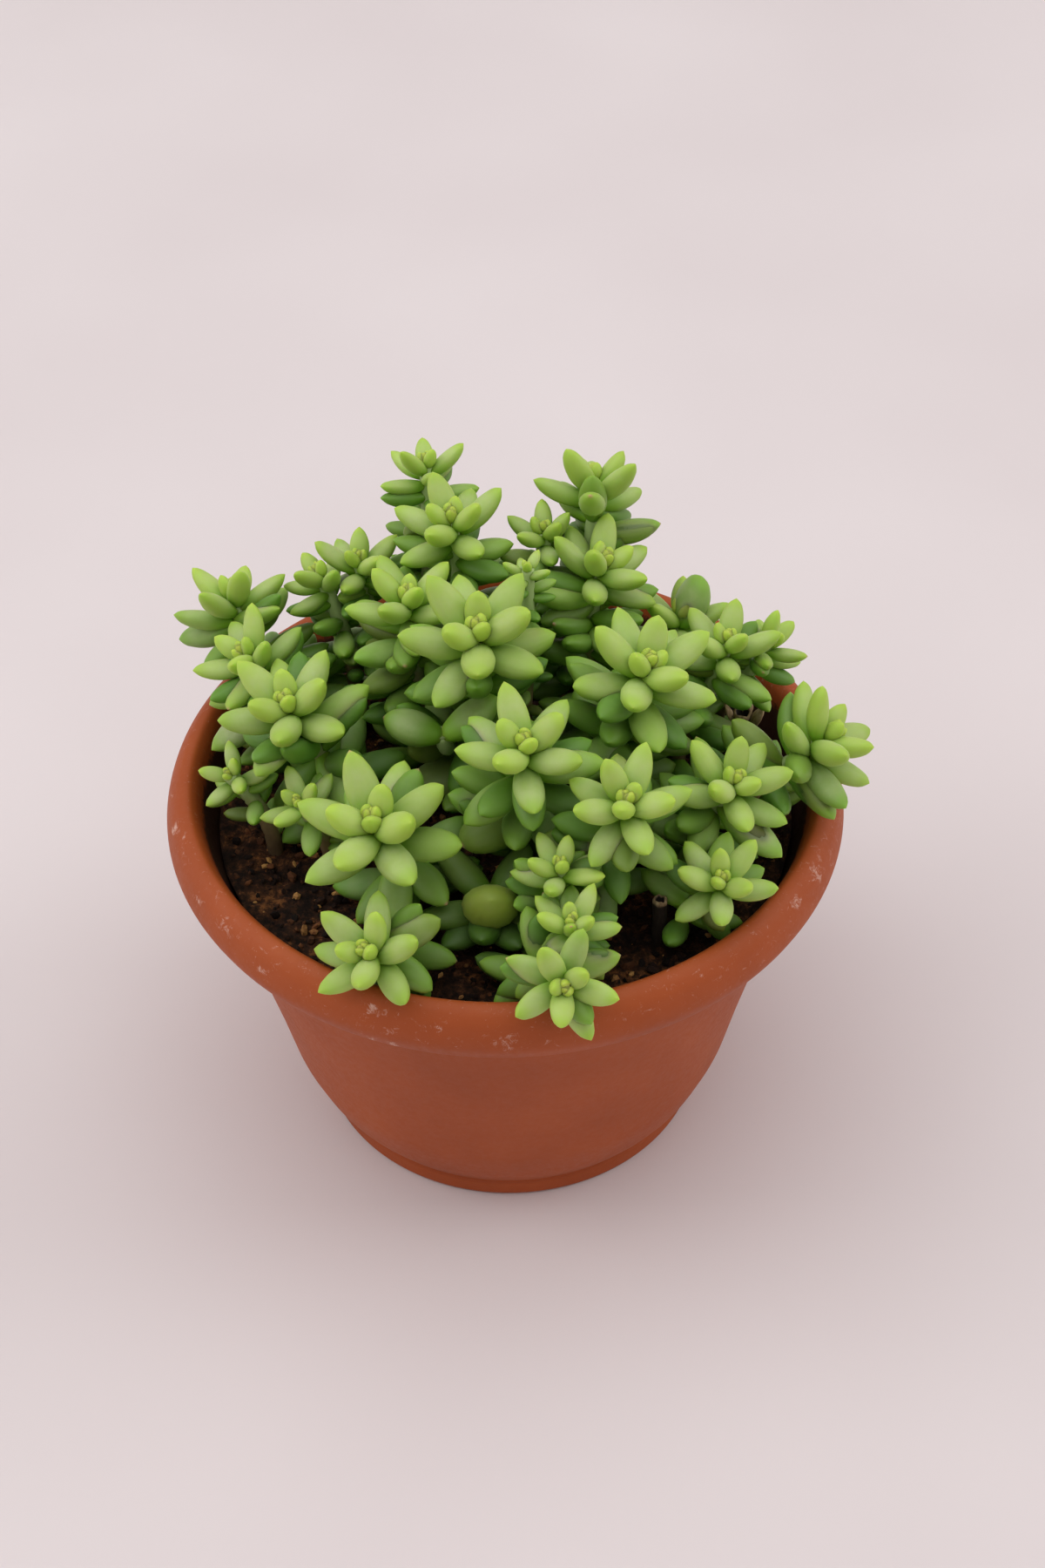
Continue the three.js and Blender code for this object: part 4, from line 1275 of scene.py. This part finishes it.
class PLANT_OT_soil(bpy.types.Operator):
    """Fills the pot with soil and scatters crumbs over it"""

    bl_idname = "plant.build_soil"
    bl_label = "Soil"

    def execute(self, context):
        self.ground(context.scene.soil_settings)
        self.crumbs(context.scene.soil_settings)
        return {"FINISHED"}

    def ground(self, settings):
        """The body of soil, which follows the inner wall, with its uneven top."""
        relief = settings.relief / MM
        sides = [(r - SOIL_GAP, z + SOIL_GAP) for r, z in WALL_INSIDE[1:]]
        profile = [(0.0, FLOOR_TOP + SOIL_GAP)] + sides[::-1] + [(SOIL_EDGE, SOIL_TOP)]
        rings = int(SOIL_EDGE / SOIL_GRID)
        profile += [(SOIL_EDGE * (1 - i / rings), SOIL_TOP) for i in range(1, rings)]
        profile += [(0.0, SOIL_TOP)]
        vertices, faces = lathe(profile, SOIL_SIDES)
        raised = []
        for x, y, z in vertices:
            if z == SOIL_TOP:
                lumps = sum(share * lump(x / size, y / size, size) for size, share in SOIL_LUMPS)
                z = soil_height(x, y) + relief * lumps
            raised.append((x, y, z))
        new_piece("soil_bed", raised, faces, [peat_compost()], ["soil"])

    def crumbs(self, settings):
        """Loose crumbs, most of them dark and damp, and paler ones gathered in patches."""
        chance = random.Random(CRUMB_SEED)
        vertices = []
        faces = []
        tones = []
        ball, ball_faces = crumb_ball()
        for _ in range(settings.crumbs):
            radius = chance.uniform(settings.smallest, settings.largest) / MM * chance.uniform(*CRUMB_SHRINK)
            r = (SOIL_EDGE - radius - CRUMB_MARGIN) * math.sqrt(chance.random())
            angle = chance.uniform(0, 2 * math.pi)
            x = r * math.cos(angle)
            y = r * math.sin(angle)
            centre = np.array([x, y, soil_height(x, y) + radius * CRUMB_SEAT])
            turned = chance.uniform(0, CRUMB_TURN)
            axis = Vector((chance.uniform(-1, 1), chance.uniform(-1, 1), chance.uniform(-1, 1.01)))
            turn = Matrix.Rotation(turned, 3, axis.normalized())
            squash = np.array([1.0, chance.uniform(*CRUMB_WIDE), chance.uniform(*CRUMB_HIGH)]) * radius
            start = len(vertices)
            for p in ball:
                rough = p * squash * chance.uniform(*CRUMB_ROUGH)
                vertices.append(centre + np.array(turn @ Vector(rough)))
            faces.extend(tuple(start + i for i in face) for face in ball_faces)
            patch = lump(x / PALE_PATCH, y / PALE_PATCH, PALE_PATCH)
            is_pale = chance.random() < PALE_CRUMBS * (1 + PALE_GATHERED * patch)
            tone = chance.uniform(*PALE_TONES) if is_pale else DARK_TONE * chance.random() ** DARK_LEAN
            tones.extend([tone] * len(ball))
        new_piece(
            "soil_crumbs", vertices, faces, [bark_crumb()], ["soil"], {"tone": tones},
            smooth=False,
        )


def crumb_ball():
    """A twelve-cornered ball, the plainest that still looks rough once its corners are moved."""
    golden = (1 + math.sqrt(5)) / 2
    size = math.hypot(1, golden)
    points = []
    for a in (-1, 1):
        for b in (-golden, golden):
            points += [np.array(corner) / size for corner in ((0, a, b), (a, b, 0), (b, 0, a))]
    near = 2 / size * NEAR_ENOUGH
    faces = []
    for i, j, k in combinations(range(len(points)), 3):
        p, q, r = points[i], points[j], points[k]
        if max(np.linalg.norm(p - q), np.linalg.norm(q - r), np.linalg.norm(r - p)) < near:
            is_outward = float(np.cross(q - p, r - p) @ p) > 0
            faces.append((i, j, k) if is_outward else (i, k, j))
    return points, faces


class PLANT_OT_stems(bpy.types.Operator):
    """Grows every leafy stem with its leaves"""

    bl_idname = "plant.grow_stems"
    bl_label = "Leafy stems"

    def execute(self, context):
        settings = context.scene.plant_settings
        skins = [waxy_leaf_skin(settings), corking_stem_skin()]
        for stem in grow_plant(settings.seed):
            chance = random.Random(settings.seed * SEEDS_APART + stem.owner)
            skin = SkinBuilder()
            skin.add_stem(stem, chance)
            for leaf in stem.leaves:
                skin.add_leaf(leaf, settings.bloom, chance)
            piece = new_piece(
                stem.name + "_leafy", skin.vertices, skin.faces, skins, [stem.name],
                skin.values,
            )
            piece.data.polygons.foreach_set("material_index", np.asarray(skin.material_of, np.int32))
        return {"FINISHED"}


class PLANT_OT_stalks(bpy.types.Operator):
    """Sets the dry ends of two old stems in the soil"""

    bl_idname = "plant.build_stalks"
    bl_label = "Dry stalks"

    def execute(self, context):
        material = dried_stem_fibre()
        for row in DRY_STALKS:
            self.stalk(material, *row)
        self.husk(material, *DRY_STALKS[-1])
        return {"FINISHED"}

    def stalk(self, material, name, place, top, radius):
        """A stalk that is torn round its top and hollow there."""
        x, y = place
        inside = radius - STALK_WALL
        profile = [
            (0.0, STEM_FOOT - STEM_SINK),
            (radius, STEM_FOOT - STEM_SINK),
            (radius, STEM_FOOT + STALK_COLLAR),
            (radius * STALK_WAIST, (STEM_FOOT + top) / 2),
            (radius * STALK_NECK, top - STALK_NECK_DEPTH),
            (radius, top - STALK_SHOULDER),
            (radius - STALK_WALL / 2, top),
            (inside, top - STALK_LIP),
            (inside, top - STALK_CUP),
            (0.0, top - STALK_CUP),
        ]
        vertices, faces = lathe(profile, STALK_SIDES)
        damp_top, damp_end = DAMP_ENDS
        moved = []
        damp = []
        for vx, vy, vz in vertices:
            angle = math.atan2(vy, vx)
            torn = min(0.0, TORN_DEPTH * math.sin(TORN_TEETH * angle + 1)) if vz > top - TORN_BAND else 0.0
            swell = 1 + STALK_SWELL * math.sin(STALK_RIBS * angle + vz)
            moved.append((x + vx * swell, y + vy * swell, vz + torn))
            is_inside = math.hypot(vx, vy) <= inside and vz > STEM_FOOT
            outside_damp = DAMP_OUTSIDE * (1 - step_up(top - damp_top, top - damp_end, vz))
            damp.append(1.0 if is_inside else outside_damp)
        new_piece(name + "_dried", moved, faces, [material], [name], {"damp": damp})

    def husk(self, material, name, place, top, radius):
        """Papery scales that have curled back from the right-hand stalk."""
        chance = random.Random(HUSK_SEED)
        side = HUSK_ROWS
        edge = list(range(side))
        edge += [i * side + side - 1 for i in range(1, side)]
        edge += [(side - 1) * side + j for j in range(side - 2, -1, -1)]
        edge += [i * side for i in range(side - 2, 0, -1)]
        vertices = []
        faces = []
        damp = []
        for azimuth, rise, length, width in HUSK_SCALES:
            a = math.radians(azimuth)
            e = math.radians(rise)
            outward = np.array([math.cos(a), math.sin(a), 0.0])
            aside = np.array([-math.sin(a), math.cos(a), 0.0])
            along = outward * math.cos(e) + UP * math.sin(e)
            up = np.cross(aside, along)
            root = np.array([*place, top - HUSK_ROOT]) + outward * radius * HUSK_ROOT_SHARE
            under = len(vertices)
            over = under + side * side
            for layer in (0.0, HUSK_THICKNESS):
                for i in range(side):
                    t = i / (side - 1)
                    half = width / 2 * math.sin(math.pi * (HUSK_NARROW + HUSK_TAPER * t))
                    for j in range(side):
                        s = 2 * j / (side - 1) - 1
                        curl = HUSK_CUP * half * s * s + HUSK_CURL * length * t * t
                        curl += chance.uniform(*HUSK_CREASE)
                        vertices.append(root + along * length * t + aside * half * s + up * (curl + layer))
                        damp.append(HUSK_DAMP * (1 - t) + HUSK_EDGE_DAMP * abs(s))
            for i in range(side - 1):
                for j in range(side - 1):
                    corner = i * side + j
                    square = (corner, corner + 1, corner + side + 1, corner + side)
                    faces.append(tuple(over + v for v in square))
                    faces.append(tuple(under + v for v in square[::-1]))
            for v, w in zip(edge, edge[1:] + edge[:1]):
                faces.append((under + v, under + w, over + w, over + v))
        new_piece("dry_husk_scales", vertices, faces, [material], [name], {"damp": damp})


class PLANT_OT_stage(bpy.types.Operator):
    """Sets the floor, the lights and the camera"""

    bl_idname = "plant.set_stage"
    bl_label = "Stage"

    def execute(self, context):
        settings = context.scene.stage_settings
        context.scene.view_settings.view_transform = "Standard"
        self.floor(settings)
        self.room(context.scene, settings)
        for name, place, aim, size, power in LIGHTS:
            self.light(name, place, aim, size, getattr(settings, power))
        self.camera(context.scene)
        return {"FINISHED"}

    def floor(self, settings):
        """A floor that curves up all round into a low backdrop, so that no edge shows from the side."""
        floor = new_object("studio_floor", *lathe(BACKDROP, BACKDROP_SIDES))
        floor.data.materials.append(painted_floor(settings))

    def room(self, scene, settings):
        scene.world = bpy.data.worlds.new("pale_room")
        scene.world.use_nodes = True
        background = scene.world.node_tree.nodes["Background"]
        background.inputs["Color"].default_value = linear(settings.room_hex)
        background.inputs["Strength"].default_value = settings.surround

    def light(self, name, place, aim, size, power):
        light = bpy.data.lights.new(name, "AREA")
        light.shape = "SQUARE"
        light.size = size
        light.energy = power
        lamp = bpy.data.objects.new(name, light)
        lamp.location = place
        toward = Vector(aim) - Vector(place)
        lamp.rotation_euler = toward.to_track_quat("-Z", "Y").to_euler()
        bpy.context.scene.collection.objects.link(lamp)

    def camera(self, scene):
        data = bpy.data.cameras.new("photo_camera")
        data.sensor_fit = "HORIZONTAL"
        data.sensor_width = SENSOR_WIDTH
        data.lens = CAMERA_LENS
        data.clip_start = CAMERA_CLIP * MM
        camera = bpy.data.objects.new("photo_camera", data)
        place = Vector(CAMERA_PLACE) * MM
        aim = Vector(CAMERA_AIM) * MM
        forward = (aim - place).normalized()
        right = forward.cross(Vector((0, 0, 1))).normalized()
        up = right.cross(forward)
        roll = math.radians(CAMERA_ROLL)
        turned_right = right * math.cos(roll) + up * math.sin(roll)
        turned_up = up * math.cos(roll) - right * math.sin(roll)
        rotation = Matrix((turned_right, turned_up, -forward)).transposed()
        camera.matrix_world = Matrix.Translation(place) @ rotation.to_4x4()
        scene.collection.objects.link(camera)
        scene.camera = camera


class PLANT_PT_panel(bpy.types.Panel):
    """Lists the settings and the steps in the sidebar"""

    bl_label = "Potted burro's tail"
    bl_idname = "PLANT_PT_panel"
    bl_space_type = "VIEW_3D"
    bl_region_type = "UI"
    bl_category = "Plant"

    def draw(self, context):
        layout = self.layout
        for label in GROUPS:
            box = layout.box()
            group = getattr(context.scene, label)
            for name in group.bl_rna.properties.keys():
                if name not in {"rna_type", "name"}:
                    box.prop(group, name)
        for operator in OPERATORS:
            layout.operator(operator.bl_idname)


OPERATORS = [PLANT_OT_pot, PLANT_OT_soil, PLANT_OT_stems, PLANT_OT_stalks, PLANT_OT_stage]
GROUPS = {
    "pot_settings": PotSettings,
    "soil_settings": SoilSettings,
    "plant_settings": PlantSettings,
    "stage_settings": StageSettings,
}


def register():
    for group in GROUPS.values():
        bpy.utils.register_class(group)
    for label, group in GROUPS.items():
        setattr(bpy.types.Scene, label, bpy.props.PointerProperty(type=group))
    for operator in OPERATORS:
        bpy.utils.register_class(operator)
    bpy.utils.register_class(PLANT_PT_panel)


def unregister():
    bpy.utils.unregister_class(PLANT_PT_panel)
    for operator in reversed(OPERATORS):
        bpy.utils.unregister_class(operator)
    for label, group in GROUPS.items():
        delattr(bpy.types.Scene, label)
        bpy.utils.unregister_class(group)


def main():
    register()
    bpy.ops.plant.build_pot()
    bpy.ops.plant.build_soil()
    bpy.ops.plant.grow_stems()
    bpy.ops.plant.build_stalks()
    bpy.ops.plant.set_stage()


if __name__ == "__main__":
    main()
